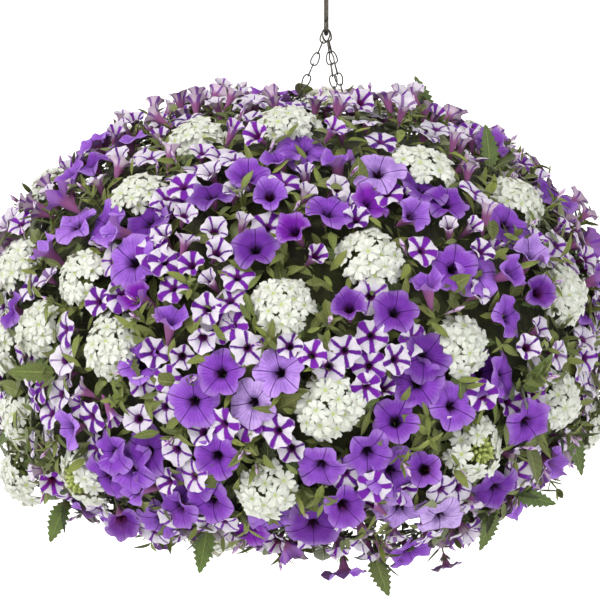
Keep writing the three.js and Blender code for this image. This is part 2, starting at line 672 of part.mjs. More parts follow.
// Where a stalk ends in the core, further in by an extra depth
function stalkEnd(stand, extra) {
  return stand.foot.clone().addScaledVector(stand.normal, -extra);
}

// The plain hole that a verbena stalk stands in
function stalkHole(stand) {
  const radius = HEAD_STEM_RADIUS + 2 * GAP;
  const points = [
    ...stalkRing(stand, radius, headBase(stand)),
    ...stalkRing(stand, radius, stalkEnd(stand, GAP)),
  ];
  const faces = [[0, 1, 2], [3, 5, 4]];
  for (let k = 0; k < 3; k += 1) {
    const next = (k + 1) % 3;
    faces.push([k, 3 + k, next], [next, 3 + k, 3 + next]);
  }
  return solidFrom(points, faces);
}

// A leaf blade through its outline of [along, across] points, thickest at its middle
function blade(item, form, outline) {
  const stand = standOf(item);
  const lean = item.reach.clone();
  const across = new THREE.Vector3().crossVectors(lean, stand.normal).normalize();
  const top = new THREE.Vector3().crossVectors(across, lean).normalize();
  const base = stand.foot;
  const at = (x, y, z) => base.clone().addScaledVector(lean, x).addScaledVector(across, y).addScaledVector(top, z);
  const points = outline.map(([x, y]) => at(x * item.length, y * form.width, 0));
  const middle = item.length * BLADE.middle;
  points.push(at(middle, 0, BLADE.thickness), at(middle, 0, -BLADE.thickness));
  const faces = [];
  const count = outline.length;
  for (let k = 0; k < count; k += 1) {
    faces.push([k, (k + 1) % count, count], [(k + 1) % count, k, count + 1]);
  }
  return solidFrom(points, faces);
}

const LEAF_OUTLINE = [[0, 0], [0.62, -0.5], [1, 0], [0.62, 0.5]];
const TOOTHED_OUTLINE = [
  [0, 0], [0.5, -0.42], [0.58, -0.3], [0.72, -0.46], [0.8, -0.26], [1, 0],
  [0.8, 0.26], [0.72, 0.46], [0.58, 0.3], [0.5, 0.42],
];

function leafBlade(item) {
  const stand = standOf(item);
  const toothed = item.kind === "toothed";
  const form = toothed ? TOOTHED : LEAF;
  const sideways = stand.right.clone().addScaledVector(stand.normal, -stand.right.dot(stand.normal)).normalize();
  const rise = CORE_DEPTH + form.rise + Math.max(item.stand, 0) + liftOf(item);
  const reach = stand.normal.clone().multiplyScalar(rise).addScaledVector(sideways, form.spread);
  return blade({ ...item, reach: reach.clone().normalize(), length: reach.length() + FOOT_SINK }, form,
    toothed ? TOOTHED_OUTLINE : LEAF_OUTLINE);
}

// Growth

// The plant that a point of the mound belongs to
function plantOf(point) {
  const azimuth = Math.atan2(point.y, point.x) / DEGREE;
  return Math.floor((((azimuth - PLANT_START) % 360) + 360) % 360 / (360 / PLANTS));
}

// The space that the pot, its soil and the hollow below it keep free
function potSpace() {
  const floor = MOUND.z - MOUND.down - 20;
  return turned([
    [0, SOIL_TOP_Z + SOIL_CROWN + GAP],
    [PLANT_RING_RADIUS, SOIL_TOP_Z + SOIL_CROWN + GAP],
    [potInside(SOIL_TOP_Z) - 2 * GAP, SOIL_TOP_Z + GAP],
    [potInside(POT_RIM_Z) - 2 * GAP, POT_RIM_Z + 2 * GAP],
    [POT_RIM_RADIUS + 3 * GAP, POT_RIM_Z + 2 * GAP],
    [POT_RIM_RADIUS + 3 * GAP, POT_RIM_Z - POT_WALL - 2 * GAP],
    [POT_TOP_RADIUS + 3 * GAP, POT_RIM_Z - POT_WALL - 3 * GAP],
    [POT_BASE_RADIUS + 3 * GAP, POT_BOTTOM_Z],
    [BELL_MOUTH_RADIUS, floor],
    [0, floor],
  ], ROUND_SIDES);
}

function strandChannel(k) {
  const { onEye, inRim } = strandEnds(k);
  const down = inRim.clone().sub(onEye).normalize();
  const across = heading(STRAND_AZIMUTHS[k] + 90);
  const geometry = new THREE.BoxGeometry(2 * CHANNEL_HALF, 2 * CHANNEL_HALF, onEye.distanceTo(inRim) + CHANNEL_BEYOND);
  geometry.applyMatrix4(new THREE.Matrix4().makeBasis(
    new THREE.Vector3().crossVectors(across, down).normalize(), across, down));
  const middle = onEye.clone().add(inRim).multiplyScalar(0.5).addScaledVector(down, CHANNEL_BEYOND / 2);
  geometry.translate(middle.x, middle.y, middle.z);
  return solidOf(geometry);
}

// The upright wedge of space that one plant fills
function plantWedge(k) {
  const middle = heading(PLANT_START + (k + 0.5) * 360 / PLANTS);
  const start = middle.clone().multiplyScalar(2 * GAP);
  const shape = new THREE.Shape();
  const reach = 1000;
  const corners = [start, ...[0, 1].map((side) => start.clone().addScaledVector(
    heading(PLANT_START + (k + side) * 360 / PLANTS), reach))];
  corners.forEach((corner, n) => shape[n ? "lineTo" : "moveTo"](corner.x, corner.y));
  const geometry = new THREE.ExtrudeGeometry(shape, { depth: 1200, bevelEnabled: false });
  geometry.translate(0, 0, MOUND.z - 600);
  return solidOf(geometry);
}

const GROWN = { striped: stripedPetunia, violet: violetPetunia, leaf: leafBlade, toothed: leafBlade };

function makeGrowth(items) {
  let core = turned(moundProfile(CORE_DEPTH, CORE_STEPS), CORE_SEGMENTS, MOUND.x).subtract(potSpace());
  STRAND_AZIMUTHS.forEach((_, k) => {
    core = core.subtract(strandChannel(k));
  });
  return Array.from({ length: PLANTS }, (_, k) => {
    const foot = plantFoot(k);
    let plant = core.intersect(plantWedge(k)).add(prism(
      foot.clone().setZ(SOIL_TOP_Z - PLANT_STEM_DEPTH), foot.clone().setZ(SOIL_TOP_Z + STEM_RISE),
      PLANT_STEM_RADIUS, 6));
    items.filter((item) => plantOf(item.face) === k).forEach((item) => {
      if (item.kind === "verbena") {
        plant = plant.subtract(stalkHole(standOf(item)));
      } else {
        plant = plant.add(GROWN[item.kind](item));
      }
    });
    return plant;
  });
}

// Assembly

function finish(color, roughness, metalness) {
  return new THREE.MeshStandardMaterial({ color, roughness, metalness });
}

const STEEL = finish(0x504e46, 0.5, 0.8);
const PLASTIC = finish(0x2e3a2c, 0.6, 0);
const SOIL = finish(0x3a2a1e, 0.95, 0);
const GROWTH = finish(0x7a52b8, 0.7, 0);
const WHITE = finish(0xf0f2ee, 0.7, 0);

const basket = new THREE.Group();
basket.name = "petunia_hanging_basket";
basket.add(meshOf("hanger_hook", makeHook(), STEEL));
STRAND_NAMES.forEach((name, k) => basket.add(meshOf(`chain_strand_${name}`, makeStrand(k), STEEL)));
basket.add(meshOf("pot", makePot(), PLASTIC));
basket.add(meshOf("potting_soil", makeSoil(), SOIL));

const items = placeItems();
settle(items);
makeGrowth(items).forEach((plant, k) => basket.add(meshOf(`petunia_plant_${k + 1}`, plant, GROWTH)));
items.filter((item) => item.kind === "verbena").forEach((item, k) => {
  basket.add(meshOf(`verbena_head_${String(k + 1).padStart(2, "0")}`, verbenaHead(item), WHITE));
});

export default basket;
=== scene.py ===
"""Petunia hanging basket: the looks of the planted pot, its chains and its hook, in metres, +Z up."""
import contextlib
import functools
import math

import bpy
import numpy as np
from bpy.props import FloatProperty, FloatVectorProperty, IntProperty, PointerProperty
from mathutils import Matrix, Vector, noise


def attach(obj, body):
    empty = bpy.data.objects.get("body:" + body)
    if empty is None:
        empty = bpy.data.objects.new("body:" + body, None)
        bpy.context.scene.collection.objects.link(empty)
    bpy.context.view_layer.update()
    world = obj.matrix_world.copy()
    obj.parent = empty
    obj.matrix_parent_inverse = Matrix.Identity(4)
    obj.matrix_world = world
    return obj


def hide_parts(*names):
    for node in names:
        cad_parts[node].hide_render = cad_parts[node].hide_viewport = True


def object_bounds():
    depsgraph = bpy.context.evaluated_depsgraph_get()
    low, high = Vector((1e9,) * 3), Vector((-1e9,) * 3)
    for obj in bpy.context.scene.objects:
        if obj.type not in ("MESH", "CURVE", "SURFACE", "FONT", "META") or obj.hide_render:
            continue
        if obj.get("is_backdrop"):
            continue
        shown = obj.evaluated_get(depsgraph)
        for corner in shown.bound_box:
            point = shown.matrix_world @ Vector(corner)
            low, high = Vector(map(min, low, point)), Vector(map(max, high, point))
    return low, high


bl_info = {
    "name": "Petunia hanging basket",
    "version": (1, 0, 0),
    "blender": (4, 5, 0),
    "location": "View3D > Sidebar > Basket",
    "description": "Builds a hanging pot on chains, grown over with petunias and verbena",
    "category": "Add Mesh",
}

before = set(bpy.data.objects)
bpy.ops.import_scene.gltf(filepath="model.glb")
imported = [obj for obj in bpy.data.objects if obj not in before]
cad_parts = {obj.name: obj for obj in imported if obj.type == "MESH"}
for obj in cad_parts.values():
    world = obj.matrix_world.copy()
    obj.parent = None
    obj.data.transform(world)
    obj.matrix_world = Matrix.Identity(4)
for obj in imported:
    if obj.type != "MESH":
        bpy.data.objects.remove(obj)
CAD_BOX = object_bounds()

MM = 0.001
UP = np.array([0.0, 0.0, 1.0])
PLANTS = 6
PLANT_START = 50                    # azimuth of the first plane between two plants, in degrees
PLANT_NODES = [f"petunia_plant_{k + 1}" for k in range(PLANTS)]

# The mound of growth, in millimetres: a squarish ball whose axis lies beside the hook's
MOUND_X, MOUND_Z, MOUND_RADIUS = -31, -443, 372
MOUND_UP, MOUND_DOWN = (275, 2.05), (254, 3.0)      # height of each half, and the power of its curve
MOUND_CENTRE = np.array([MOUND_X, 0.0, MOUND_Z])
# Where the growth swells out or falls in: a middle, how far it spreads, and how much it lifts the flowers
LUMPS = (
    ((-345, -90, -330), 90, 13), ((-190, -170, -230), 80, -7), ((60, -150, -190), 85, 10),
    ((215, -130, -235), 80, -12), ((300, -110, -590), 100, -16), ((110, -210, -670), 90, 12),
    ((-110, -230, -660), 85, -9), ((-60, -370, -440), 90, 9), ((150, -330, -420), 70, -8),
    ((-300, 170, -400), 110, 12), ((-120, 330, -330), 90, -11), ((90, 340, -500), 100, 13),
    ((300, 120, -420), 90, -10), ((-190, 200, -640), 100, -9), ((10, 150, -185), 90, 8),
)
DEEPEST_HEAD = -8                   # a verbena head sits no lower than this in a hollow
LOW_SLOPE = -0.4                    # below this upward slope of its face the growth is thicker

# The pot and its hangings, in millimetres
ROD_RADIUS, CROOK_RADIUS, CROOK_TIP_ANGLE, CROOK_STEP = 2.8, 15, 205, 20.5
NECK = ((0.72, 0.72), (0.15, 1.05))     # the neck below the crook: out and down, in crook radii
SHAFT_TOP, EYE_RADIUS, EYE_BOTTOM, EYE_END_ANGLE, EYE_STEP, EYE_NECK = -34, 8, -101, 300, 30, 12
STRAND_AZIMUTHS = (170, 290, 50)
STRAND_NAMES = ("left", "front", "back")
EYE_SEATS = (0, -35, 35)
LINKS, LINK_WIRE, LINK_BITE, RIM_PLAY, GAP = 27, 1.0, 0.45, 1.2, 0.4
LINK_WIDTH, END_LINK_WIDTH, LINK_TAPER, ROUND_WIRE = 4.3, 5.0, 0.22, 0.86
POT_RIM_Z, POT_HEIGHT, POT_WALL = -449, 190, 3
POT_RIM_RADIUS, POT_TOP_RADIUS, POT_BASE_RADIUS = 152.5, 141.5, 108
RIM_HOLE_RADIUS, RIM_HOLE_AT = 3, 147
DRAIN_HOLES, DRAIN_HOLE_RADIUS, DRAIN_RING_RADIUS = 4, 6, 62
SOIL_TOP_Z, SOIL_CROWN = POT_RIM_Z - 14, 5
BELL_MOUTH_RADIUS = 132

# Flowers and leaves, in millimetres: radius, and how much of the mound's face each keeps to itself
BLOOM_RADIUS = {"striped": 19, "violet": 27, "verbena": 41}
ROOM = {"striped": 16.5, "violet": 23, "verbena": 45, "leaf": 12, "toothed": 13}
WEIGHT = {"striped": 1, "violet": 1.6, "verbena": 4, "leaf": 0.6, "toothed": 0.6}
PLANT_FENCE, PLANE_ROOM, SETTLE_ROUNDS, SEED = 3, 10, 80, 20240611
CORE_DEPTH, FOOT_SINK = 34, 18
STRAND_ROOM, CROWN_ROOM = 11, 14    # kept clear round each strand, and on top of the mound
CHAINS_SEEN = 62                    # how far round the chains the growth stays low
UPTURN, TILT = 0.16, 0.34           # how far flowers turn up, and each its own way
STAND_OUT, STAND_PLAY = 3, 9        # how far flowers stand out, and how much less they may

# The straight-on view of the photograph, in whose 600 x 600 frame the points below lie
VIEW_DISTANCE, VIEW_ELEVATION, VIEW_FOCAL, VIEW_MIDDLE, VIEW_LIFT = 3000, 8, 2500, 300, 24
OPEN_HEADS, OPEN_CENTRE = (17, 19), 0.62       # heads whose middle is still in green bud
VERBENA_AT = (
    (187, 138), (292, 122), (426, 172), (523, 193), (121, 218), (82, 263), (20, 263), (48, 306),
    (111, 325), (290, 298), (363, 262), (560, 287), (461, 338), (17, 348), (8, 387), (333, 402),
    (567, 401), (480, 446), (266, 485), (77, 480), (11, 481),
)
VIOLET_AT = (
    (125, 137), (96, 162), (284, 159), (72, 217), (45, 249), (76, 239), (98, 244), (124, 265),
    (136, 288), (166, 314), (204, 205), (247, 197), (281, 203), (261, 249), (297, 249), (353, 183),
    (384, 177), (331, 234), (378, 213), (399, 229), (451, 205), (520, 232), (539, 263), (350, 308),
    (440, 272), (413, 265), (398, 303), (486, 282), (532, 290), (509, 315), (589, 282), (193, 403),
    (226, 368), (247, 387), (277, 376), (74, 429), (147, 449), (103, 449), (143, 489), (113, 508),
    (92, 517), (188, 508), (224, 463), (248, 539), (313, 450), (432, 363), (451, 399), (375, 414),
    (362, 434), (332, 498), (318, 522), (419, 465), (400, 514), (442, 508), (507, 364), (524, 420),
    (495, 487), (403, 546), (349, 569), (216, 503),
)
# One letter for each of these: b blue violet, m magenta violet, l light, p pale, d dark
VIOLET_TINTS = "lbbblllbmb" "bblbmblbml" "bbpbbbbbbb" "bbblllbbbb" "bbbmbbbbbb" "bblpbbbbbb"
EXTRA_VIOLET_AT = (
    (66, 161), (76, 170), (306, 142), (96, 200), (159, 221), (19, 320), (438, 198), (472, 267), (591, 303),
    (128, 368), (119, 464), (99, 472), (165, 502), (411, 366), (401, 464), (493, 378),
)
EXTRA_VIOLET_TINTS = "blbb" "bbblb" "bbbbb" "bd"
STRIPED_AT = (
    (227, 115), (243, 87), (272, 99), (212, 126), (237, 138), (262, 145), (228, 162), (315, 107),
    (331, 119), (365, 128), (333, 143), (357, 103), (380, 90), (399, 109), (403, 138), (434, 130),
    (449, 147), (478, 149), (470, 164), (470, 188), (158, 161), (140, 169), (122, 166), (105, 191),
    (147, 191), (182, 190), (207, 173), (50, 195), (32, 199), (41, 218), (151, 213), (16, 232),
    (194, 225), (154, 244), (193, 251), (217, 244), (234, 230), (314, 191), (339, 196), (319, 207),
    (415, 200), (457, 222), (439, 228), (487, 221), (463, 242), (495, 257), (424, 249), (319, 267),
    (402, 315), (466, 295), (554, 182), (585, 200), (562, 242), (579, 244), (181, 265), (216, 265),
    (234, 263), (165, 280), (222, 276), (251, 284), (57, 307), (134, 340), (208, 315), (239, 332),
    (207, 345), (277, 341), (165, 347), (69, 350), (360, 332), (400, 336), (336, 346), (304, 340),
    (515, 341), (537, 335), (584, 334), (141, 362), (165, 358), (89, 370), (41, 384), (57, 393),
    (49, 410), (113, 414), (93, 427), (141, 418), (162, 402), (226, 410), (285, 404), (355, 375),
    (398, 384), (489, 400), (560, 359), (176, 448), (203, 462), (172, 477), (8, 449), (36, 472),
    (364, 474), (450, 489), (572, 443), (463, 525), (427, 533), (448, 552),
)
EXTRA_STRIPED_AT = (
    (257, 94), (251, 105), (237, 151), (341, 130), (382, 142), (177, 169), (134, 155), (161, 185),
    (216, 191), (138, 215), (121, 232), (132, 245), (251, 217), (295, 182), (353, 219), (334, 204),
    (396, 192), (377, 282), (566, 198), (595, 219), (230, 288), (101, 274), (82, 287), (108, 299),
    (67, 269), (11, 263), (14, 288), (212, 330), (294, 345), (4, 337), (318, 355), (57, 371), (30, 399),
    (77, 392), (241, 416), (375, 381), (596, 380), (27, 447),
)
TOOTHED_AT = (
    (430, 108), (499, 153), (20, 205), (36, 359), (46, 498), (528, 397), (522, 500), (497, 516),
    (589, 443), (205, 540), (370, 560),
)
# Where the tips of these leaves point in the view, in degrees
TOOTHED_WAYS = (110, 100, 150, 178, 250, 60, -15, -112, -80, -100, -70)
LEAF_AT = (
    (415, 126), (539, 174), (512, 364), (150, 540), (280, 555), (300, 225), (200, 290), (330, 315),
    (170, 425), (430, 430), (395, 440), (250, 440), (120, 395), (60, 455), (530, 360), (240, 215),
    (90, 205), (420, 120), (150, 330), (300, 480),
)
SPIRAL_POINTS, SPIRAL_FRONT, UNDERSIDE_RADIUS = 324, 0.12, 175
SPIRAL_CYCLE, SPIRAL_TINTS, EXTRA_TINTS = "sVsBsLVssVsLBsVs", "blbmbblb", "blbmbbld"
SPIRAL_KINDS = {"s": "striped", "V": "violet", "B": "verbena", "L": "leaf"}
GOLDEN_ANGLE = math.pi * (3 - math.sqrt(5))

# What only the shown growth has, beyond the solids
LEAN, HEAD_LEAN = 1.9, 0.4          # how far flowers and verbena heads lean, as a share of the solids' tilt
EXTRA_POINTS, EXTRA_CLEAR = 1500, 0.31      # places for further flowers, and the room that one has to find
EXTRA_CROWDING = 0.82               # the share of their room that the further flowers keep
SEEN_RISE, EXTRA_RISE, CHAIN_RISE = -3, -6, -9      # how far these, and those by the chains, sit back
CROWN_SLOPE, SHOULDER_SLOPE, EDGE_SLOPE = 0.85, 0.5, -0.35      # upward slopes where the mound's parts end
LONG_AT_TOP, LONG_AT_EDGE, LONG_VIOLET = 0.75, 0.45, 0.3        # shares of long-tubed petunias there
TONES = {"d": 0.06, "b": 0.34, "m": 0.3, "l": 0.72, "p": 0.95}
OPEN_FORMS = 4                      # petunia forms before this are open, and the rest are long trumpets
LONG_FORMS = {"striped": 2, "violet": 1}
TUBE_LENGTH, LONG_TUBE = {"striped": 15, "violet": 20}, 1.6
LEAF_LENGTH, BROAD_LENGTH, TOOTHED_LENGTH = 24, 35, 50
BROAD_EVERY = 11                    # one petunia leaf in so many is broad
CHAIN_CLEARING = 14                 # how much deeper the leaves lie where the chains come out
BUD_SPOKES = 34                     # in the middle of a verbena head that still opens
SHARP_FROM = 80                     # edges bent by more than this, in degrees, are left sharp


# Placing: the rule that the solids follow too

def unit(v):
    return v / np.linalg.norm(v)


def heading(azimuth):
    return np.array([math.cos(math.radians(azimuth)), math.sin(math.radians(azimuth)), 0.0])


def turned_about(v, axis, angle):
    """v turned about a unit axis by an angle in radians."""
    c, s = math.cos(angle), math.sin(angle)
    return v * c + np.cross(axis, v) * s + axis * (axis @ v) * (1 - c)


def frame_along(axis, spin=0.0):
    """A turn whose third column is an axis, with the others spun about it by an angle in radians."""
    axis = unit(axis)
    across = UP if abs(axis[2]) < 0.9 else np.array([0.0, 1.0, 0.0])
    right = turned_about(unit(np.cross(across, axis)), axis, spin)
    return np.column_stack([right, np.cross(axis, right), axis])


class Draw:
    """A repeatable draw between two values."""

    def __init__(self, seed):
        self.state = seed

    def __call__(self, low=0.0, high=1.0):
        self.state = (self.state * 1664525 + 1013904223) & 0xFFFFFFFF
        return low + (high - low) * self.state / 4294967296


def mound_half(z):
    return MOUND_UP if z >= MOUND_Z else MOUND_DOWN


def mound_level(p):
    """Less than 1 inside the plain mound, 1 on its face and more outside."""
    height, power = mound_half(p[2])
    sideways = math.hypot(p[0] - MOUND_X, p[1]) / MOUND_RADIUS
    return sideways ** power + (abs(p[2] - MOUND_Z) / height) ** power


def on_mound(p):
    """The point of the mound's face on the line from its centre through a point."""
    power = mound_half(p[2])[1]
    return MOUND_CENTRE + (p - MOUND_CENTRE) * mound_level(p) ** (-1 / power)


def mound_normal(p):
    height, power = mound_half(p[2])
    dx, dz = p[0] - MOUND_X, p[2] - MOUND_Z
    out = max(math.hypot(dx, p[1]), 1e-6)
    side = (out / MOUND_RADIUS) ** (power - 1) / MOUND_RADIUS
    rise = np.sign(dz) * (abs(dz) / height) ** (power - 1) / height
    return unit(np.array([side * dx / out, side * p[1] / out, rise]))


def lift_at(p):
    """How far the growth swells out of the plain mound at a point."""
    return sum(rise * math.exp(-(np.linalg.norm(p - at) / spread) ** 2) for at, spread, rise in LUMPS)


def view_axes():
    lean = math.radians(VIEW_ELEVATION)
    forward = np.array([0.0, math.cos(lean), -math.sin(lean)])
    above = np.array([0.0, math.sin(lean), math.cos(lean)])
    return MOUND_CENTRE + UP * VIEW_LIFT - forward * VIEW_DISTANCE, forward, above


def seen_in_view(u, v):
    """The point of the mound that a point of the view shows, and how far it stands off the face."""
    eye, forward, above = view_axes()
    ray = unit(forward * VIEW_FOCAL + np.array([u - VIEW_MIDDLE, 0, 0]) + above * (VIEW_MIDDLE - v))
    best, least = None, None
    for reach in range(VIEW_DISTANCE - 450, VIEW_DISTANCE + 201, 2):
        point = eye + ray * reach
        level = mound_level(point)
        if best is None or level < least:
            best, least = point, level
        if level <= 1:
            break
    face = on_mound(best)
    return face, (np.linalg.norm(best - face) if least > 1 else 0.0)


def strand_ends(k):
    seat = math.radians(EYE_SEATS[k])
    on_eye = np.array([0, math.sin(seat), -math.cos(seat)]) * EYE_RADIUS + UP * (EYE_BOTTOM + EYE_RADIUS)
    in_rim = heading(STRAND_AZIMUTHS[k]) * (RIM_HOLE_AT + RIM_HOLE_RADIUS + POT_RIM_RADIUS) / 2
    in_rim[2] = POT_RIM_Z - POT_WALL / 2
    return on_eye, in_rim, np.array([0, math.cos(seat), math.sin(seat)])


def strand_exit(k):
    on_eye, in_rim, _ = strand_ends(k)
    t = 0.0
    while mound_level(on_eye + (in_rim - on_eye) * t) > 1:
        t += 0.01
    return on_eye + (in_rim - on_eye) * t


@functools.lru_cache(maxsize=None)
def chain_spots():
    """Where the strands enter the growth, and the top of the mound between them."""
    top = on_mound(np.array([0.0, 0.0, MOUND_Z + MOUND_UP[0]]))
    return np.array([strand_exit(k) for k in range(len(STRAND_NAMES))] + [top])


def off_chains(face):
    """How far a point of the mound is from the nearest of the chain spots."""
    return np.linalg.norm(chain_spots() - face, axis=1).min()


def plant_of(p):
    azimuth = math.degrees(math.atan2(p[1], p[0]))
    return int(((azimuth - PLANT_START) % 360) // (360 / PLANTS))


class Flower:
    """A flower or leaf and where it stands on the mound, in millimetres."""

    def __init__(self, kind, face, stand, draw, tint="b"):
        self.kind, self.face, self.tint = kind, face, tint
        self.long, self.rise, self.sway = False, 0.0, 1.0
        self.stand = stand - draw() * STAND_PLAY + STAND_OUT
        self.spin = draw() * 360
        self.tilt = np.array([draw() - 0.5, draw() - 0.5, draw() - 0.5])
        self.size = 0.94 + 0.12 * draw()

    def placed(self, tilt_share=1.0):
        """Its middle, its foot, the mound's normal there, and a matrix whose columns are its own axes."""
        normal = mound_normal(self.face)
        axis = normal + UP * UPTURN + self.tilt * tilt_share * self.sway * TILT
        turn = frame_along(axis, math.radians(self.spin))
        lift = lift_at(self.face)
        if self.kind == "verbena":
            lift = max(lift, DEEPEST_HEAD)
        middle = self.face + normal * (self.stand + lift + self.rise)
        return middle, self.face - normal * (CORE_DEPTH + FOOT_SINK), normal, turn


def spiral(count):
    """Points spread evenly over the mound, from its top down."""
    for k in range(count):
        rise = 1 - 2 * (k + 0.5) / count
        flat = math.sqrt(1 - rise * rise)
        angle = k * GOLDEN_ANGLE
        yield on_mound(np.array([MOUND_X + MOUND_RADIUS * flat * math.cos(angle),
                                 MOUND_RADIUS * flat * math.sin(angle), MOUND_Z + MOUND_UP[0] * rise]))


def is_under_pot(face, radius):
    return face[2] < MOUND_Z and math.hypot(face[0], face[1]) < radius


def place_flowers():
    draw = Draw(SEED)
    flowers = []
    read = {"verbena": VERBENA_AT, "violet": VIOLET_AT, "striped": STRIPED_AT, "toothed": TOOTHED_AT,
            "leaf": LEAF_AT}
    for kind, spots in read.items():
        for k, spot in enumerate(spots):
            tint = VIOLET_TINTS[k] if kind == "violet" else "b"
            flowers.append(Flower(kind, *seen_in_view(*spot), draw, tint))
    placed = 0
    for face in spiral(SPIRAL_POINTS):
        if is_under_pot(face, UNDERSIDE_RADIUS) or -mound_normal(face)[1] > SPIRAL_FRONT:
            continue
        kind = SPIRAL_KINDS[SPIRAL_CYCLE[placed % len(SPIRAL_CYCLE)]]
        flowers.append(Flower(kind, face, 0.0, draw, SPIRAL_TINTS[placed // 2 % len(SPIRAL_TINTS)]))
        placed += 1
    settle(flowers)
    return flowers


def settle(flowers, held=(), crowding=1.0):
    """Pushes flowers that crowd each other apart, clear of the chains and of the planes between plants.

    The held ones stay where they are, and crowding is the share of their room that flowers keep.
    """
    posts = list(zip(chain_spots(), (STRAND_ROOM, STRAND_ROOM, STRAND_ROOM, CROWN_ROOM)))
    everyone = list(flowers) + list(held)
    room = np.array([ROOM[f.kind] for f in everyone], float) * crowding
    weight = np.array([WEIGHT[f.kind] for f in flowers] + [1e6] * len(held), float)
    share = weight[None, :] / (weight[:, None] + weight[None, :])
    for _ in range(SETTLE_ROUNDS):
        faces = np.array([f.face for f in everyone])
        plants = np.array([plant_of(p) for p in faces])
        apart = faces[:, None, :] - faces[None, :, :]
        far = np.linalg.norm(apart, axis=2) + np.eye(len(faces)) * 1e9
        fence = np.where(plants[:, None] == plants[None, :], 0, PLANT_FENCE)
        lack = np.maximum(room[:, None] + room[None, :] + fence - far, 0) * share
        moves = (apart / far[:, :, None] * lack[:, :, None]).sum(axis=1)
        for spot, clear in posts:
            off = faces - spot
            length = np.linalg.norm(off, axis=1)
            short = np.maximum(room + clear - length, 0)
            moves += off / length[:, None] * short[:, None]
        for flower, move in zip(flowers, moves):
            flower.face = off_planes(on_mound(flower.face + move * 0.5))


def off_planes(face):
    """A face point moved clear of the upright planes between the plants."""
    for k in range(PLANTS):
        along = heading(PLANT_START + k * 360 / PLANTS)
        across = np.array([-along[1], along[0], 0])
        off = face @ across
        if face @ along > 0 and abs(off) < PLANE_ROOM:
            face = face + across * (1 if off >= 0 else -1) * (PLANE_ROOM - abs(off))
    return on_mound(face)


def spread_over(count, seed, jitter):
    """Points of a spiral over the whole mound but the pot's mouth, each moved a little at random."""
    draw = Draw(seed)
    for face in spiral(count):
        loose = on_mound(face + np.array([draw(-1, 1), draw(-1, 1), draw(-1, 1)]) * jitter)
        if not is_under_pot(loose, BELL_MOUTH_RADIUS + 24):
            yield loose, draw


def more_flowers(flowers):
    """The flowers that the solids leave out: those read from the photograph, and a rule for every side."""
    draw = Draw(SEED + 1)
    more = []
    for k, spot in enumerate(EXTRA_VIOLET_AT):
        more.append(Flower("violet", *seen_in_view(*spot), draw, EXTRA_VIOLET_TINTS[k]))
    for spot in EXTRA_STRIPED_AT:
        more.append(Flower("striped", *seen_in_view(*spot), draw))
    seen = len(more)
    for k, (face, loose) in enumerate(spread_over(EXTRA_POINTS, SEED + 2, 9)):
        near = min(np.linalg.norm(face - f.face) - ROOM[f.kind] for f in flowers + more)
        kind = "violet" if k % 12 == 1 else "striped"
        if near > ROOM[kind] * EXTRA_CLEAR:
            more.append(Flower(kind, face, 0.0, loose, EXTRA_TINTS[k % len(EXTRA_TINTS)]))
    settle(more, flowers, EXTRA_CROWDING)
    for k, flower in enumerate(more):
        flower.rise = SEEN_RISE if k < seen else EXTRA_RISE
    for flower in more[seen:] + flowers:
        loosen(flower, draw)
    return more


def loosen(flower, draw):
    """At the top and the lower edge many small petunias stand out on long tubes, each at its own slant."""
    slope = mound_normal(flower.face)[2]
    share = draw()
    is_loose = slope > SHOULDER_SLOPE or slope < EDGE_SLOPE or share < 0.1
    if off_chains(flower.face) < CHAINS_SEEN:
        flower.rise += CHAIN_RISE
    elif flower.kind == "striped" and is_loose:
        flower.long = share < (LONG_AT_TOP if slope > SHOULDER_SLOPE else LONG_AT_EDGE)
        low, high = (0, 5) if not flower.long else (2, 22) if slope > CROWN_SLOPE else (-5, 6)
        flower.rise += draw(low, high)
        flower.sway = 2.2 if flower.long else 1.4
    elif flower.kind == "violet" and share < LONG_VIOLET:
        flower.long = True
        flower.rise += draw(0, 7)
        flower.sway = 1.8


@functools.lru_cache(maxsize=None)
def all_flowers():
    flowers = place_flowers()
    return flowers, more_flowers(flowers)


# Modelling

def clear_selection():
    bpy.ops.object.select_all(action="DESELECT")


def points_of(obj):
    flat = np.empty(len(obj.data.vertices) * 3)
    obj.data.vertices.foreach_get("co", flat)
    return flat.reshape(-1, 3)


def move_points(obj, points):
    obj.data.vertices.foreach_set("co", np.ascontiguousarray(points, float).ravel())
    obj.data.update()


def ringed_points(radius, angle, height, axis_x=0.0):
    """Points at given radii and angles round an upright axis."""
    return np.column_stack([axis_x + radius * np.cos(angle), radius * np.sin(angle), height])


@contextlib.contextmanager
def edit_mode(select=None):
    """Edits the active object, with all of its mesh selected or none of it where that is asked for."""
    bpy.ops.object.mode_set(mode="EDIT")
    if select:
        bpy.ops.mesh.select_all(action=select)
    yield
    bpy.ops.object.mode_set(mode="OBJECT")


@contextlib.contextmanager
def editing_points(obj, chosen):
    """Edits an object with the vertices selected that a list of True and False names, and nothing else."""
    with edit_mode("DESELECT"):
        pass
    obj.data.vertices.foreach_set("select", chosen)
    with edit_mode():
        bpy.ops.mesh.select_mode(type="VERT")
        yield


def face_outwards():
    with edit_mode("SELECT"):
        bpy.ops.mesh.normals_make_consistent(inside=False)


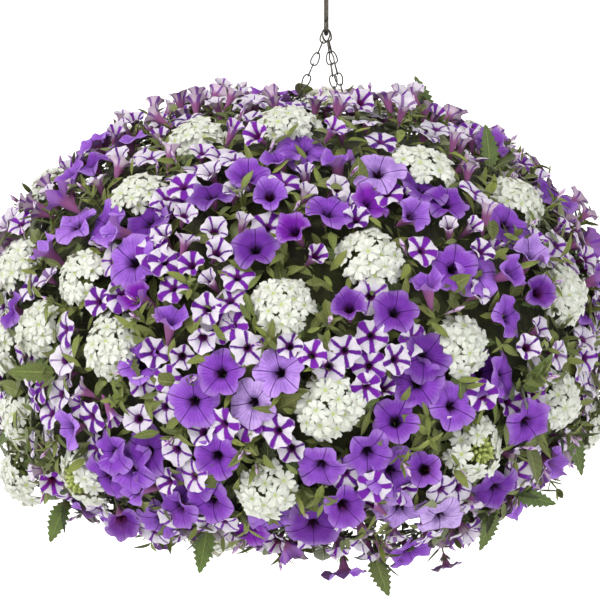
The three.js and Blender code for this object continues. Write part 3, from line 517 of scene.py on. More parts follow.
def ringed_disc(name, segments, rings, close_rim=False):
    """A disc with rings at radii 1, 2, 3 and so on, extruded ring by ring from a circle and filled."""
    clear_selection()
    bpy.ops.mesh.primitive_circle_add(vertices=segments, radius=1, fill_type="NOTHING")
    obj = bpy.context.object
    obj.name = name
    with edit_mode():
        for ring in range(1, rings):
            bpy.ops.mesh.extrude_edges_move()
            bpy.ops.transform.resize(value=((ring + 1) / ring,) * 3)
        if close_rim:
            bpy.ops.mesh.edge_face_add()
    radius = np.hypot(*points_of(obj)[:, :2].T)
    with editing_points(obj, radius < 1.5):
        bpy.ops.mesh.edge_face_add()
        bpy.ops.mesh.select_all(action="SELECT")
        bpy.ops.mesh.normals_make_consistent(inside=False)
    if not close_rim and sum(p.normal.z for p in obj.data.polygons) < 0:
        with edit_mode():
            bpy.ops.mesh.flip_normals()
    return obj


def rings_and_angles(obj):
    """The ring of each vertex of a ringed disc, counted from 0, and its angle from the first in radians."""
    x, y, _ = points_of(obj).T
    return np.rint(np.hypot(x, y)).astype(int) - 1, np.arctan2(-x, y)


def paint_face_map(obj, u, v):
    """Gives each vertex its place in the shape's own face map, from 0 to 1."""
    corners = np.empty(len(obj.data.loops), int)
    obj.data.loops.foreach_get("vertex_index", corners)
    layer = obj.data.uv_layers.new(name="face")
    layer.data.foreach_set("uv", np.column_stack([u[corners], v[corners]]).ravel())


def thicken(obj, thickness, inner, front, back):
    """A sheet gets a back in a material of its own. The two meet at the edge, where inner is False."""
    obj.data.materials.append(front)
    obj.data.materials.append(back)
    group = obj.vertex_groups.new(name="inner")
    group.add(np.nonzero(inner)[0].tolist(), 1.0, "REPLACE")
    bpy.ops.object.modifier_add(type="SOLIDIFY")
    wall = obj.modifiers[-1]
    wall.thickness = thickness
    wall.offset = -1
    wall.use_rim = False
    wall.vertex_group = group.name
    wall.thickness_vertex_group = 0.0
    wall.material_offset = 1
    bpy.ops.object.modifier_apply(modifier=wall.name)
    with edit_mode("SELECT"):
        bpy.ops.mesh.remove_doubles(threshold=0.001)


class Form:
    """One modelled shape in millimetres, taken up so that it can be copied."""

    def __init__(self, obj, recalculate=False):
        if recalculate:
            face_outwards()
        mesh = obj.data
        self.points = points_of(obj)
        self.corners = np.empty(len(mesh.loops), int)
        self.sizes = np.empty(len(mesh.polygons), int)
        self.slots = np.empty(len(mesh.polygons), int)
        mesh.loops.foreach_get("vertex_index", self.corners)
        mesh.polygons.foreach_get("loop_total", self.sizes)
        mesh.polygons.foreach_get("material_index", self.slots)
        self.map = np.zeros(len(mesh.loops) * 2)
        if "face" in mesh.uv_layers:
            mesh.uv_layers["face"].data.foreach_get("uv", self.map)
        self.materials = [slot.material for slot in obj.material_slots]
        bpy.data.objects.remove(obj)
        bpy.data.meshes.remove(mesh)


class Copies:
    """A mesh in the making, of many copied forms."""

    def __init__(self):
        self.points, self.corners, self.sizes = [], [], []
        self.slots, self.map, self.tones = [], [], []
        self.materials = []
        self.count = 0

    def put(self, form, middle, turn, tone=(0.5, 0.5, 0.5)):
        """A copy of a form at a point in millimetres, along the axes in the matrix's columns."""
        for material in form.materials:
            if material not in self.materials:
                self.materials.append(material)
        slots = np.array([self.materials.index(m) for m in form.materials])
        self.points.append(form.points @ turn.T + middle)
        self.corners.append(form.corners + self.count)
        self.sizes.append(form.sizes)
        self.slots.append(slots[form.slots])
        self.map.append(form.map)
        self.tones.append(np.tile([*tone, 1.0], (len(form.points), 1)))
        self.count += len(form.points)

    def finish(self, name, nodes, slot_name):
        """The mesh as a piece that stands for CAD nodes."""
        sizes = np.concatenate(self.sizes)
        corners = np.concatenate(self.corners)
        mesh = bpy.data.meshes.new(name)
        mesh.vertices.add(self.count)
        mesh.loops.add(len(corners))
        mesh.polygons.add(len(sizes))
        mesh.vertices.foreach_set("co", (np.concatenate(self.points) * MM).ravel())
        mesh.loops.foreach_set("vertex_index", corners)
        mesh.polygons.foreach_set("loop_start", np.concatenate([[0], np.cumsum(sizes)[:-1]]))
        mesh.polygons.foreach_set("loop_total", sizes)
        mesh.polygons.foreach_set("material_index", np.concatenate(self.slots))
        mesh.polygons.foreach_set("use_smooth", np.ones(len(sizes), bool))
        mesh.uv_layers.new(name="face").data.foreach_set("uv", np.concatenate(self.map))
        tones = mesh.attributes.new("tone", "FLOAT_COLOR", "POINT")
        tones.data.foreach_set("color", np.concatenate(self.tones).ravel())
        for material in self.materials:
            mesh.materials.append(material)
        mesh.update(calc_edges=True)
        mesh.validate()
        obj = bpy.data.objects.new(name, mesh)
        bpy.context.collection.objects.link(obj)
        clear_selection()
        bpy.context.view_layer.objects.active = obj
        obj.select_set(True)
        bpy.ops.object.shade_smooth_by_angle(angle=math.radians(SHARP_FROM))
        as_piece(obj, nodes)


def as_piece(obj, nodes):
    """A finished object joins the part: it hangs with it and stands for CAD nodes."""
    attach(obj, "root")
    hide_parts(*nodes)


# Flower and leaf forms, in millimetres, each with its axis along +Z

def lobe_angle(angle):
    """Angle from the middle of the nearest of five lobes, from -pi/5 to pi/5."""
    return (angle + math.pi / 5) % (2 * math.pi / 5) - math.pi / 5


def petal_cup(name, segments, rings, outline, ruffle, face, back):
    """A trumpet flower: rings of (flat radius, radius, height) shaped by an outline and a ruffle rule."""
    obj = ringed_disc(name, segments, len(rings))
    ring, angle = rings_and_angles(obj)
    flat, radius, height = np.array(rings, float).T
    share = flat[ring] / flat[-1]
    shape = 1 + (outline(angle) - 1) * share ** 2.2
    reach = 0.5 * share * shape
    paint_face_map(obj, 0.5 + reach * np.cos(angle), 0.5 + reach * np.sin(angle))
    move_points(obj, ringed_points(radius[ring] * shape, angle, height[ring] + ruffle(angle, share)))
    thicken(obj, 0.5, ring < len(rings) - 1, face, back)
    return Form(obj)


def flared(steps, flare_from, open_wide, tube):
    """Trumpet rings of (flat radius, height), opened to a share of their width, on a longer tube."""
    rings = []
    for flat, height in steps:
        beyond = max(flat - flare_from, 0)
        drop = height * tube if flat <= flare_from else height
        wide = open_wide if flat > flare_from else 1 - 0.06 * (tube - 1)
        rings.append((flat, flat * wide, drop + (1 - open_wide) * beyond * 1.5))
    return rings


def striped_form(number, face, back):
    """A small petunia with a rounded five-cornered rim. The later ones are long trumpets, half open."""
    phase = number * 1.7
    open_wide = (1.06, 0.96, 1.1, 0.86, 0.8, 0.62)[number]
    tube = (1.0, 1.0, 1.1, 1.2, 1.6, 1.8)[number]
    steps = ((1.3, -16), (2.7, -9), (4.8, -3.8), (9, -1.3), (14.5, 0), (19, -0.7))
    rings = flared(steps, 4.8, open_wide, tube)

    def outline(angle):
        lobe = np.abs(lobe_angle(angle))
        notch = 0.06 * np.exp(-((lobe - math.pi / 5) / 0.14) ** 2)
        return 0.93 + 0.06 * np.cos(5 * angle) - notch + 0.035 * np.sin(3 * angle + phase)

    def ruffle(angle, share):
        wave = np.sin(5 * angle + phase) * 0.5 + np.sin(7 * angle - phase * 2) * 0.45
        wave = wave + np.sin(2 * angle + phase) * 0.5
        return share ** 3 * 2.0 * wave - share ** 1.5 * 1.2 * np.cos(5 * angle)

    return petal_cup("striped_form", 20, rings, outline, ruffle, face, back)


def violet_form(number, face, back):
    """A large petunia of five round lobes with a ruffled rim."""
    phase = number * 2.3 + 0.6
    open_wide = (1.06, 1.0, 1.12, 0.9, 0.72)[number]
    tube = (1.0, 1.0, 1.05, 1.2, 1.4)[number]
    steps = ((1.7, -22), (3.8, -13), (5.8, -6.4), (9.5, -3), (16, -0.9), (22.5, 0.3), (27.5, -1.0))
    rings = flared(steps, 5.8, open_wide, tube)

    def outline(angle):
        lobe = lobe_angle(angle)
        tip = 0.02 * np.exp(-(lobe / 0.12) ** 2)
        scallop = 0.2 * np.clip(np.cos(2.5 * lobe), 0, 1) ** 0.55
        return 0.8 + scallop + tip + 0.04 * np.sin(2 * angle + phase)

    def ruffle(angle, share):
        wave = np.sin(5 * angle + phase) * 0.4 + np.sin(7 * angle - phase) * 0.5
        wave = wave + np.sin(2 * angle + 2 * phase) * 0.6
        return share ** 2.6 * 5.2 * wave - share ** 1.6 * 2.7 * np.cos(5 * angle)

    return petal_cup("violet_form", 30, rings, outline, ruffle, face, back)


FLORET_RADIUS = 11.6
# From the middle of a petal round to the next one: how far the rim reaches, spreads and rises
FLORET_RIM = (10.0, 11.6, 10.2, 4.8, 10.2, 11.6)
FLORET_SPREAD = (0, 0.02, 0.09, 0, -0.09, -0.02)
FLORET_PINWHEEL = (0.3, 0.9, 0.6, -1.2, -1.3, -0.6)


def floret_form(number, face, stalk):
    """A verbena floret of five round petals, which overlap like a pinwheel on a short tube."""
    obj = ringed_disc("floret_form", 30, 3)
    ring, angle = rings_and_angles(obj)
    place = np.rint(angle / (math.pi / 15)).astype(int)
    step, petal = place % 6, place // 6 % 5
    lift = np.sin(petal * 2.2 + number * 1.9)
    rim = np.choose(step, FLORET_RIM) * (1 + 0.05 * lift)
    bearing = angle + np.choose(step, FLORET_SPREAD)
    third = np.rint(place / 2) * 2 * math.pi / 15
    fifth = petal * 2 * math.pi / 5
    middle = np.where(np.rint(place / 2).astype(int) % 3 == 0, 6.4, np.where(step == 3, 3.4, 5.6))
    radius = np.select([ring == 0, ring == 1], [1.4, middle], rim)
    bearing = np.select([ring == 0, ring == 1], [fifth, third], bearing)
    rim_height = np.choose(step, FLORET_PINWHEEL) + 0.7 * lift - 0.3
    height = np.select([ring == 0, ring == 1], [-1.6, 0.5 + 0.4 * lift], rim_height)
    x, y = np.cos(bearing), np.sin(bearing)
    paint_face_map(obj, 0.5 + 0.5 * radius / FLORET_RADIUS * x, 0.5 + 0.5 * radius / FLORET_RADIUS * y)
    move_points(obj, ringed_points(radius, bearing, height))
    obj.data.materials.append(face)
    obj.data.materials.append(stalk)
    with editing_points(obj, ring == 2):
        bpy.ops.mesh.select_mode(type="EDGE")
        bpy.ops.mesh.extrude_edges_move(TRANSFORM_OT_translate={"value": (0, 0, -6)})
        bpy.ops.mesh.merge(type="CENTER")
        bpy.ops.mesh.select_all(action="SELECT")
        bpy.ops.mesh.remove_doubles(threshold=0.001)
    return Form(obj, recalculate=True)


def blade_form(name, length, width, profile, along, across, cup, droop, face):
    """A leaf blade from the origin along +X, of a given outline, which cups across and droops along."""
    clear_selection()
    bpy.ops.mesh.primitive_grid_add(x_subdivisions=along, y_subdivisions=across, size=2)
    obj = bpy.context.object
    obj.name = name
    x, y, _ = points_of(obj).T
    share = (x + 1) / 2
    half = np.array([profile(s) for s in share]) * width / 2
    paint_face_map(obj, share, y * 0.5 + 0.5)
    lift = cup * np.abs(y) ** 1.5 * half / (width / 2) - droop * share ** 2
    move_points(obj, np.column_stack([share * length, y * half, lift]))
    thicken(obj, 0.5, (np.abs(x) < 0.99) & (np.abs(y) < 0.99), face, face)
    return Form(obj)


SAW_TEETH = 8                       # on each side of a verbena leaf


def ovate(share):
    return max(math.sin(math.pi * min(share, 1) ** 0.8) ** 0.75, 0.02) if share > 0 else 0.03


def toothed(share):
    teeth = 0.68 + 0.32 * abs(math.sin(share * math.pi * SAW_TEETH))
    return max(math.sin(math.pi * share ** 0.66) ** 0.75 * teeth, 0.03) if 0 < share < 1 else 0.03


def tube_form(name, sides, profile, material):
    """A slim closed shape turned from (radius, height) steps, drawn upwards ring by ring."""
    obj = ringed_disc(name, sides, len(profile), close_rim=True)
    ring, angle = rings_and_angles(obj)
    radius, height = np.array(profile, float).T
    paint_face_map(obj, angle / (2 * math.pi) + 0.5, height[ring] / height.max())
    move_points(obj, ringed_points(radius[ring], angle, height[ring]))
    obj.data.materials.append(material)
    return Form(obj, recalculate=True)


# Materials

def linear(red, green, blue):
    """A colour of 0 to 255, as read on a screen, in the numbers that materials use."""
    def channel(value):
        value /= 255
        return value / 12.92 if value <= 0.04045 else ((value + 0.055) / 1.055) ** 2.4
    return channel(red), channel(green), channel(blue), 1.0


class Wiring:
    """Adds nodes to a tree and links them."""

    def __init__(self, tree):
        self.tree = tree

    def node(self, kind, inputs=(), **settings):
        made = self.tree.nodes.new(kind)
        for key, value in settings.items():
            setattr(made, key, value)
        for socket, value in dict(inputs).items():
            self.feed(made.inputs[socket], value)
        return made

    def feed(self, socket, value):
        if isinstance(value, bpy.types.NodeSocket):
            self.tree.links.new(value, socket)
        elif socket.type == "RGBA" and len(value) == 3:
            socket.default_value = (*value, 1)
        else:
            socket.default_value = value

    def maths(self, operation, *values):
        return self.node("ShaderNodeMath", enumerate(values), operation=operation).outputs[0]

    def plus(self, a, b):
        return self.maths("ADD", a, b)

    def minus(self, a, b):
        return self.maths("SUBTRACT", a, b)

    def times(self, a, b):
        return self.maths("MULTIPLY", a, b)

    def step(self, value, low, high, at_low=0.0, at_high=1.0):
        """Runs smoothly from one value to another while the input goes from low to high."""
        made = self.node("ShaderNodeMapRange", interpolation_type="SMOOTHSTEP")
        for socket, number in zip(("Value", "From Min", "From Max", "To Min", "To Max"),
                                  (value, low, high, at_low, at_high)):
            self.feed(made.inputs[socket], number)
        return made.outputs[0]

    def mix(self, share, a, b):
        made = self.node("ShaderNodeMix", data_type="RGBA", clamp_result=True)
        self.feed(made.inputs[0], share)
        self.feed(made.inputs[6], a)
        self.feed(made.inputs[7], b)
        return made.outputs[2]

    def noise(self, scale, detail=3.0, roughness=0.55):
        made = self.node("ShaderNodeTexNoise")
        made.inputs["Scale"].default_value = scale
        made.inputs["Detail"].default_value = detail
        made.inputs["Roughness"].default_value = roughness
        self.feed(made.inputs["Vector"], self.node("ShaderNodeTexCoord").outputs["Object"])
        return made.outputs["Fac"]

    def bump(self, height, strength, distance):
        made = self.node("ShaderNodeBump", {"Height": height})
        made.inputs["Strength"].default_value = strength
        made.inputs["Distance"].default_value = distance
        return made.outputs[0]


def shader_group(name, inputs, outputs, build):
    """A node group, made once. Its inputs are numbers with a default, or vectors where that is None."""
    if name in bpy.data.node_groups:
        return bpy.data.node_groups[name]
    tree = bpy.data.node_groups.new(name, "ShaderNodeTree")
    for label, default in inputs.items():
        kind = "NodeSocketVector" if default is None else "NodeSocketFloat"
        socket = tree.interface.new_socket(label, in_out="INPUT", socket_type=kind)
        if default is not None:
            socket.default_value = default
    for label in outputs:
        tree.interface.new_socket(label, in_out="OUTPUT", socket_type="NodeSocketFloat")
    w = Wiring(tree)
    entry, leave = tree.nodes.new("NodeGroupInput"), tree.nodes.new("NodeGroupOutput")
    for label, socket in build(w, entry.outputs).items():
        tree.links.new(socket, leave.inputs[label])
    return tree


def petal_polar():
    """Where a point lies on a flower: its radius, its turn from 0 to 1, and its place across its lobe."""
    def build(w, given):
        off = {0: given["Face map"], 1: (0.5, 0.5, 0)}
        flat = w.node("ShaderNodeVectorMath", off, operation="SUBTRACT").outputs[0]
        parts = w.node("ShaderNodeSeparateXYZ", {0: flat}).outputs
        length = w.node("ShaderNodeVectorMath", {0: flat}, operation="LENGTH").outputs["Value"]
        turn = w.plus(w.maths("DIVIDE", w.maths("ARCTAN2", parts[1], parts[0]), 2 * math.pi), 0.5)
        across = w.minus(w.maths("FRACT", w.times(turn, 5.0)), 0.5)
        return {"Radius": w.times(length, 2.0), "Turn": turn, "Across": across}
    return shader_group("Petal polar", {"Face map": None}, ("Radius", "Turn", "Across"), build)


def petal_veins():
    """Thin veins that run out from a flower's throat."""
    def build(w, given):
        wander = w.times(w.minus(w.noise(260.0, 2.0), 0.5), given["Wander"])
        wave = w.maths("SINE", w.times(w.plus(given["Turn"], wander), given["Count"]))
        thin = w.step(w.maths("ABSOLUTE", wave), 0.0, 0.34, 1.0, 0.0)
        return {"Mask": w.times(thin, w.step(given["Radius"], 1.0, 0.15, 0.35, 1.0))}
    inputs = {"Turn": 0.0, "Radius": 0.0, "Count": 94.25, "Wander": 0.012}   # 94.25 makes 30 veins
    return shader_group("Petal veins", inputs, ("Mask",), build)


def leaf_veins():
    """A midrib with side veins, on a leaf's face map."""
    def build(w, given):
        parts = w.node("ShaderNodeSeparateXYZ", {0: given["Face map"]}).outputs
        across = w.maths("ABSOLUTE", w.minus(parts[1], 0.5))
        midrib = w.step(across, 0.015, 0.05, 1.0, 0.0)
        slant = w.minus(parts[0], w.times(across, 0.42))
        wave = w.maths("ABSOLUTE", w.maths("SINE", w.times(slant, given["Count"])))
        side = w.step(wave, 0.0, 0.3, 0.8, 0.0)
        return {"Veins": w.maths("MAXIMUM", midrib, side), "Across": across}
    return shader_group("Leaf veins", {"Face map": None, "Count": 20.0}, ("Veins", "Across"), build)


def mottle():
    """Uneven tone over a surface, from a low to a high value."""
    def build(w, given):
        place = w.node("ShaderNodeTexCoord").outputs["Object"]
        coarse = w.node("ShaderNodeTexNoise", {"Vector": place, "Scale": given["Scale"]})
        coarse.inputs["Detail"].default_value = 4
        made = w.step(coarse.outputs["Fac"], 0.3, 0.7)
        spread = w.minus(given["High"], given["Low"])
        return {"Value": w.plus(given["Low"], w.times(made, spread))}
    return shader_group("Mottle", {"Scale": 60.0, "Low": 0.0, "High": 1.0}, ("Value",), build)


class Finish:
    """A material being made: its shader, its wiring and the tone of each copy."""

    def __init__(self, name, roughness, **constants):
        self.material = bpy.data.materials.new(name)
        self.material.use_nodes = True
        self.wires = Wiring(self.material.node_tree)
        self.shader = self.material.node_tree.nodes["Principled BSDF"]
        self.shader.inputs["Roughness"].default_value = roughness
        for socket, value in constants.items():
            self.shader.inputs[socket.replace("_", " ")].default_value = value

    def face_map(self):
        return self.wires.node("ShaderNodeUVMap", uv_map="face").outputs[0]

    def tone(self):
        colour = self.wires.node("ShaderNodeAttribute", attribute_name="tone").outputs["Color"]
        return self.wires.node("ShaderNodeSeparateColor", {0: colour}).outputs

    def group(self, tree, **values):
        made = self.wires.node("ShaderNodeGroup", node_tree=tree)
        for socket, value in values.items():
            self.wires.feed(made.inputs[socket.replace("_", " ")], value)
        return made.outputs

    def give(self, **sockets):
        for socket, value in sockets.items():
            self.wires.feed(self.shader.inputs[socket.replace("_", " ")], value)
        return self.material


def lobe_ray(w, tone, polar):
    """A mask that is 1 along the middle of each lobe, wedge-shaped, with a ragged edge."""
    radius, across = polar["Radius"], w.maths("ABSOLUTE", polar["Across"])
    ragged = w.times(w.minus(w.noise(420.0, 3.0), 0.5), 0.14)
    uneven = w.times(w.minus(w.noise(48.0, 1.0), 0.5), 0.26)
    taper = w.maths("DIVIDE", w.plus(0.04, w.times(tone[1], 0.02)), radius)
    width = w.plus(w.plus(taper, uneven), w.times(tone[1], 0.17))
    width = w.maths("MAXIMUM", width, 0.045)
    ray = w.step(w.minus(w.plus(across, ragged), width), -0.05, 0.05, 1.0, 0.0)
    return w.times(ray, w.step(radius, 0.9, 1.02, 1.0, 0.45))


def striped_face(colours):
    """White petals with a violet ray along each lobe and a dark throat. The whites darken towards the
    throat in painted shade.
    """
    f = Finish("striped petal face", 0.6, Sheen_Weight=0.05, Subsurface_Weight=0.08,
               Specular_IOR_Level=0.25)
    w, tone = f.wires, f.tone()
    polar = f.group(petal_polar(), Face_map=f.face_map())
    radius = polar["Radius"]
    ray = lobe_ray(w, tone, polar)
    veins = f.group(petal_veins(), Turn=polar["Turn"], Radius=radius)["Mask"]
    cloud = f.group(mottle(), Scale=110.0, Low=0.0, High=0.35)["Value"]
    white = w.mix(w.plus(w.times(veins, 0.16), cloud), colours.striped_white, colours.striped_veins_and_shade)
    # painted shade: the whites darken towards the throat, where the funnel is shaded
    white = w.mix(w.step(radius, 0.6, 0.25, 0.0, 0.4), white, colours.striped_veins_and_shade)
    violet = w.mix(tone[0], colours.ray_dark, colours.ray_bright)
    violet = w.mix(f.group(mottle(), Scale=150.0, Low=0.0, High=0.4)["Value"], violet, colours.magenta)
    violet = w.mix(w.times(veins, 0.45), violet, colours.throat)
    faded = w.mix(tone[2], violet, colours.ray_faded)
    petal = w.mix(ray, white, faded)
    petal = w.mix(w.step(radius, 0.33, 0.22), petal, colours.striped_throat)
    petal = w.mix(w.step(radius, 0.21, 0.12), petal, colours.throat)
    petal = w.mix(w.step(radius, 0.045, 0.02), petal, colours.stigma)
    grain = w.plus(w.noise(230.0, 3.0), w.times(veins, -0.5))
    return f.give(Base_Color=petal, Normal=w.bump(grain, 0.7, 0.0012))


def violet_face(colours):
    """Violet petals that run from dark to pale and to magenta, with darker veins and throat, and painted
    shade along the creases.
    """
    f = Finish("violet petal face", 0.6, Sheen_Weight=0.04, Subsurface_Weight=0.08,
               Specular_IOR_Level=0.2)
    w, tone = f.wires, f.tone()
    polar = f.group(petal_polar(), Face_map=f.face_map())
    radius, across = polar["Radius"], w.maths("ABSOLUTE", polar["Across"])
    ramp = w.node("ShaderNodeValToRGB", {0: tone[0]})
    shades = (colours.violet_dark, colours.violet, colours.violet_bright, colours.violet_light,
              colours.violet_pale)
    stops = ramp.color_ramp.elements
    stops.remove(stops[1])
    stops[0].color = shades[0]
    for k, shade in enumerate(shades[1:], 1):
        stops.new(k / (len(shades) - 1)).color = shade
    petal = w.mix(tone[1], ramp.outputs[0], colours.magenta)
    cloud = f.group(mottle(), Scale=70.0, Low=0.0, High=0.45)["Value"]
    petal = w.mix(cloud, petal, colours.violet_shadow)
    petal = w.mix(w.step(radius, 0.6, 1.0, 0.0, 0.3), petal, colours.violet_pale)
    petal = w.mix(w.step(radius, 0.42, 0.2, 0.0, 0.6), petal, colours.violet_dark)
    veins = f.group(petal_veins(), Turn=polar["Turn"], Radius=radius)["Mask"]
    petal = w.mix(w.times(veins, 0.55), petal, colours.violet_dark)
    # painted shade: a dark line along the middle of each lobe, where the petal folds into a crease
    crease = w.step(w.times(across, radius), 0.004, 0.022, 1.0, 0.0)
    petal = w.mix(w.times(crease, 0.65), petal, colours.violet_dark)
    throat = w.step(w.plus(radius, w.times(across, 0.14)), 0.27, 0.2)
    petal = w.mix(throat, petal, colours.throat)
    petal = w.mix(w.step(radius, 0.045, 0.02), petal, colours.stigma)
    wrinkles = w.times(w.noise(190.0, 3.0), 1.4)
    relief = w.plus(w.times(veins, -0.5), w.times(crease, -1.0))
    return f.give(Base_Color=petal, Normal=w.bump(w.plus(relief, wrinkles), 0.8, 0.0015))


def petal_back(name, colours, flare, marking):
    """The outside of a petunia: a pale flare with the rays showing through, and a mauve veined tube."""
    f = Finish(name, 0.65, Sheen_Weight=0.06, Specular_IOR_Level=0.25)
    w, tone = f.wires, f.tone()
    polar = f.group(petal_polar(), Face_map=f.face_map())
    radius = polar["Radius"]
    veins = f.group(petal_veins(), Turn=polar["Turn"], Radius=radius)["Mask"]
    ray = w.times(lobe_ray(w, tone, polar), 0.85)
    outside = w.mix(ray, flare, marking)
    outside = w.mix(w.step(radius, 0.22, 0.5), colours.tube, outside)
    outside = w.mix(w.times(veins, 0.35), outside, colours.tube_vein)
    return f.give(Base_Color=outside, Normal=w.bump(veins, 0.3, 0.0006))


def floret_face(colours):
    """White verbena petals round a yellow-green eye, with painted shade at the petal bases and in the
    creases between the petals.
    """
    f = Finish("verbena floret face", 0.65, Sheen_Weight=0.04, Subsurface_Weight=0.08,
               Specular_IOR_Level=0.25)
    w, tone = f.wires, f.tone()
    polar = f.group(petal_polar(), Face_map=f.face_map())
    radius = polar["Radius"]
    white = w.mix(w.times(tone[0], 0.4), colours.verbena_white, colours.verbena_tint_and_shade)
    # painted shade: the petals darken towards the eye, where they are shaded
    white = w.mix(w.step(radius, 0.6, 0.2, 0.0, 0.5), white, colours.verbena_tint_and_shade)
    petal = w.mix(w.step(radius, 0.2, 0.11), white, colours.verbena_eye)
    across = w.maths("ABSOLUTE", polar["Across"])
    # painted shadow: a thin darker line in the creases between the petals
    crease = w.step(w.times(across, radius), 0.0, 0.04, 1.0, 0.0)
    petal = w.mix(w.times(crease, 0.25), petal, colours.verbena_tint_and_shade)
    return f.give(Base_Color=petal, Normal=w.bump(w.plus(crease, w.noise(500.0)), 0.4, 0.0006))


def leaf_face(name, colours, light, dark, count, relief):
    """A leaf with a paler midrib and side veins, which differs from leaf to leaf."""
    f = Finish(name, 0.48, Sheen_Weight=0.2)
    w, tone = f.wires, f.tone()
    marks = f.group(leaf_veins(), Face_map=f.face_map(), Count=count)
    # the tone runs from dark to light green: random, and for the scattered leaves also painted shade by
    # depth
    green = w.mix(tone[0], dark, light)
    cloud = f.group(mottle(), Scale=90.0, Low=0.0, High=0.5)["Value"]
    green = w.mix(cloud, green, dark)
    green = w.mix(w.times(marks["Veins"], 0.5), green, colours.leaf_vein)
    green = w.mix(w.times(tone[1], 0.5), green, colours.leaf_yellow)
    height = w.plus(w.times(marks["Veins"], -1.0), w.times(w.noise(500.0), 0.6))
    return f.give(Base_Color=green, Normal=w.bump(height, 0.6, relief))


def plain_growth(name, low, high, scale, roughness, depth):
    """Stems, buds, and the shaded inside of the growth, whose darkness there is painted shade."""
    f = Finish(name, roughness, Sheen_Weight=0.1)
    w = f.wires
    share = f.group(mottle(), Scale=scale)["Value"]
    return f.give(Base_Color=w.mix(share, low, high), Normal=w.bump(w.noise(scale * 3), 0.6, depth))


def wire_steel(colours):
    """Dull bronze-grey wire, mottled, with a little rust."""
    f = Finish("dark steel", 0.45)
    w = f.wires
    rust = w.step(w.noise(120.0, 5.0), 0.56, 0.72)
    metal = w.mix(f.group(mottle(), Scale=240.0)["Value"], colours.steel_dark, colours.steel)
    metal = w.mix(w.times(rust, 0.45), metal, colours.rust)
    f.give(Metallic=w.step(rust, 0.0, 1.0, 0.85, 0.25), Roughness=w.step(rust, 0.0, 1.0, 0.36, 0.75))
    return f.give(Base_Color=metal, Normal=w.bump(w.noise(900.0), 0.25, 0.0003))


def pot_plastic(colours):
    """Moulded dark plastic with a fine grain, dust and water marks."""
    f = Finish("pot plastic", 0.5)
    w = f.wires
    dust = f.group(mottle(), Scale=26.0, Low=0.0, High=0.4)["Value"]
    plastic = w.mix(dust, colours.plastic, colours.plastic_dust)
    f.give(Roughness=w.step(dust, 0.0, 0.4, 0.42, 0.7))
    return f.give(Base_Color=plastic, Normal=w.bump(w.noise(1400.0, 2.0), 0.25, 0.0003))


def potting_soil(colours):
    """Dark crumbly compost with pale grit."""
    f = Finish("potting soil", 0.95)
    w = f.wires
    crumbs = w.noise(230.0, 6.0, 0.7)
    grit = w.step(w.noise(640.0, 1.0), 0.68, 0.72)
    earth = w.mix(w.step(crumbs, 0.35, 0.65), colours.soil_dark, colours.soil)
    return f.give(Base_Color=w.mix(grit, earth, colours.grit), Normal=w.bump(crumbs, 1.0, 0.003))


def studio_white(colours, studio):
    """Matt pale paper for the floor and the backdrop, which can be looked through from below."""
    f = Finish("studio paper", 0.9, Emission_Strength=1.0)
    w = f.wires
    seen = w.node("ShaderNodeLightPath").outputs["Is Camera Ray"]
    glow = w.mix(seen, (studio.paper_glow,) * 3, (studio.paper_seen,) * 3)
    f.give(Base_Color=colours.paper, Emission_Color=glow)
    clear = w.node("ShaderNodeBsdfTransparent").outputs[0]
    behind = w.node("ShaderNodeNewGeometry").outputs["Backfacing"]
    sheet = w.node("ShaderNodeMixShader", {0: behind, 1: f.shader.outputs[0], 2: clear})
    output = f.material.node_tree.nodes["Material Output"]
    w.feed(output.inputs["Surface"], sheet.outputs[0])
    return f.material


@functools.lru_cache(maxsize=None)
def finishes():
    """Every material of the basket, made once."""
    colours = bpy.context.scene.basket_colours
    return {
        "striped": striped_face(colours),
        "violet": violet_face(colours),
        "striped_back": petal_back("striped petal back", colours, colours.back_pale, colours.ray_bright),
        "violet_back": petal_back("violet petal back", colours, colours.back_violet, colours.violet),
        "floret": floret_face(colours),
        "leaf": leaf_face("petunia leaf", colours, colours.leaf, colours.leaf_dark, 20.0, 0.0008),
        "toothed": leaf_face("verbena leaf", colours, colours.verbena_leaf, colours.leaf_dark, 26.0,
                             0.0014),
        "bud": plain_growth("verbena bud", colours.stem, colours.verbena_eye, 320.0, 0.6, 0.0003),
        "stem": plain_growth("green stem", colours.leaf_dark, colours.stem, 150.0, 0.6, 0.0005),
        # the core's dark brown and green are painted shade for the shaded inside of the growth
        "core": plain_growth("shaded growth", colours.gap, colours.gap_green, 60.0, 0.9, 0.004),
        "steel": wire_steel(colours),
        "plastic": pot_plastic(colours),
        "soil": potting_soil(colours),
        "paper": studio_white(colours, bpy.context.scene.basket_studio),
    }


# The hook and the chains

def smooth_path(points, steps):
    """Points along a smooth curve through the given ones."""
    points = [np.array(p, float) for p in points]
    ends = [2 * points[0] - points[1], *points, 2 * points[-1] - points[-2]]
    path = []
    for a, b, c, d in zip(ends, ends[1:], ends[2:], ends[3:]):
        for k in range(steps):
            t = k / steps
            path.append(0.5 * (2 * b + (c - a) * t + (2 * a - 5 * b + 4 * c - d) * t ** 2
                               + (3 * b - a - 3 * c + d) * t ** 3))
    return [*path, points[-1]]


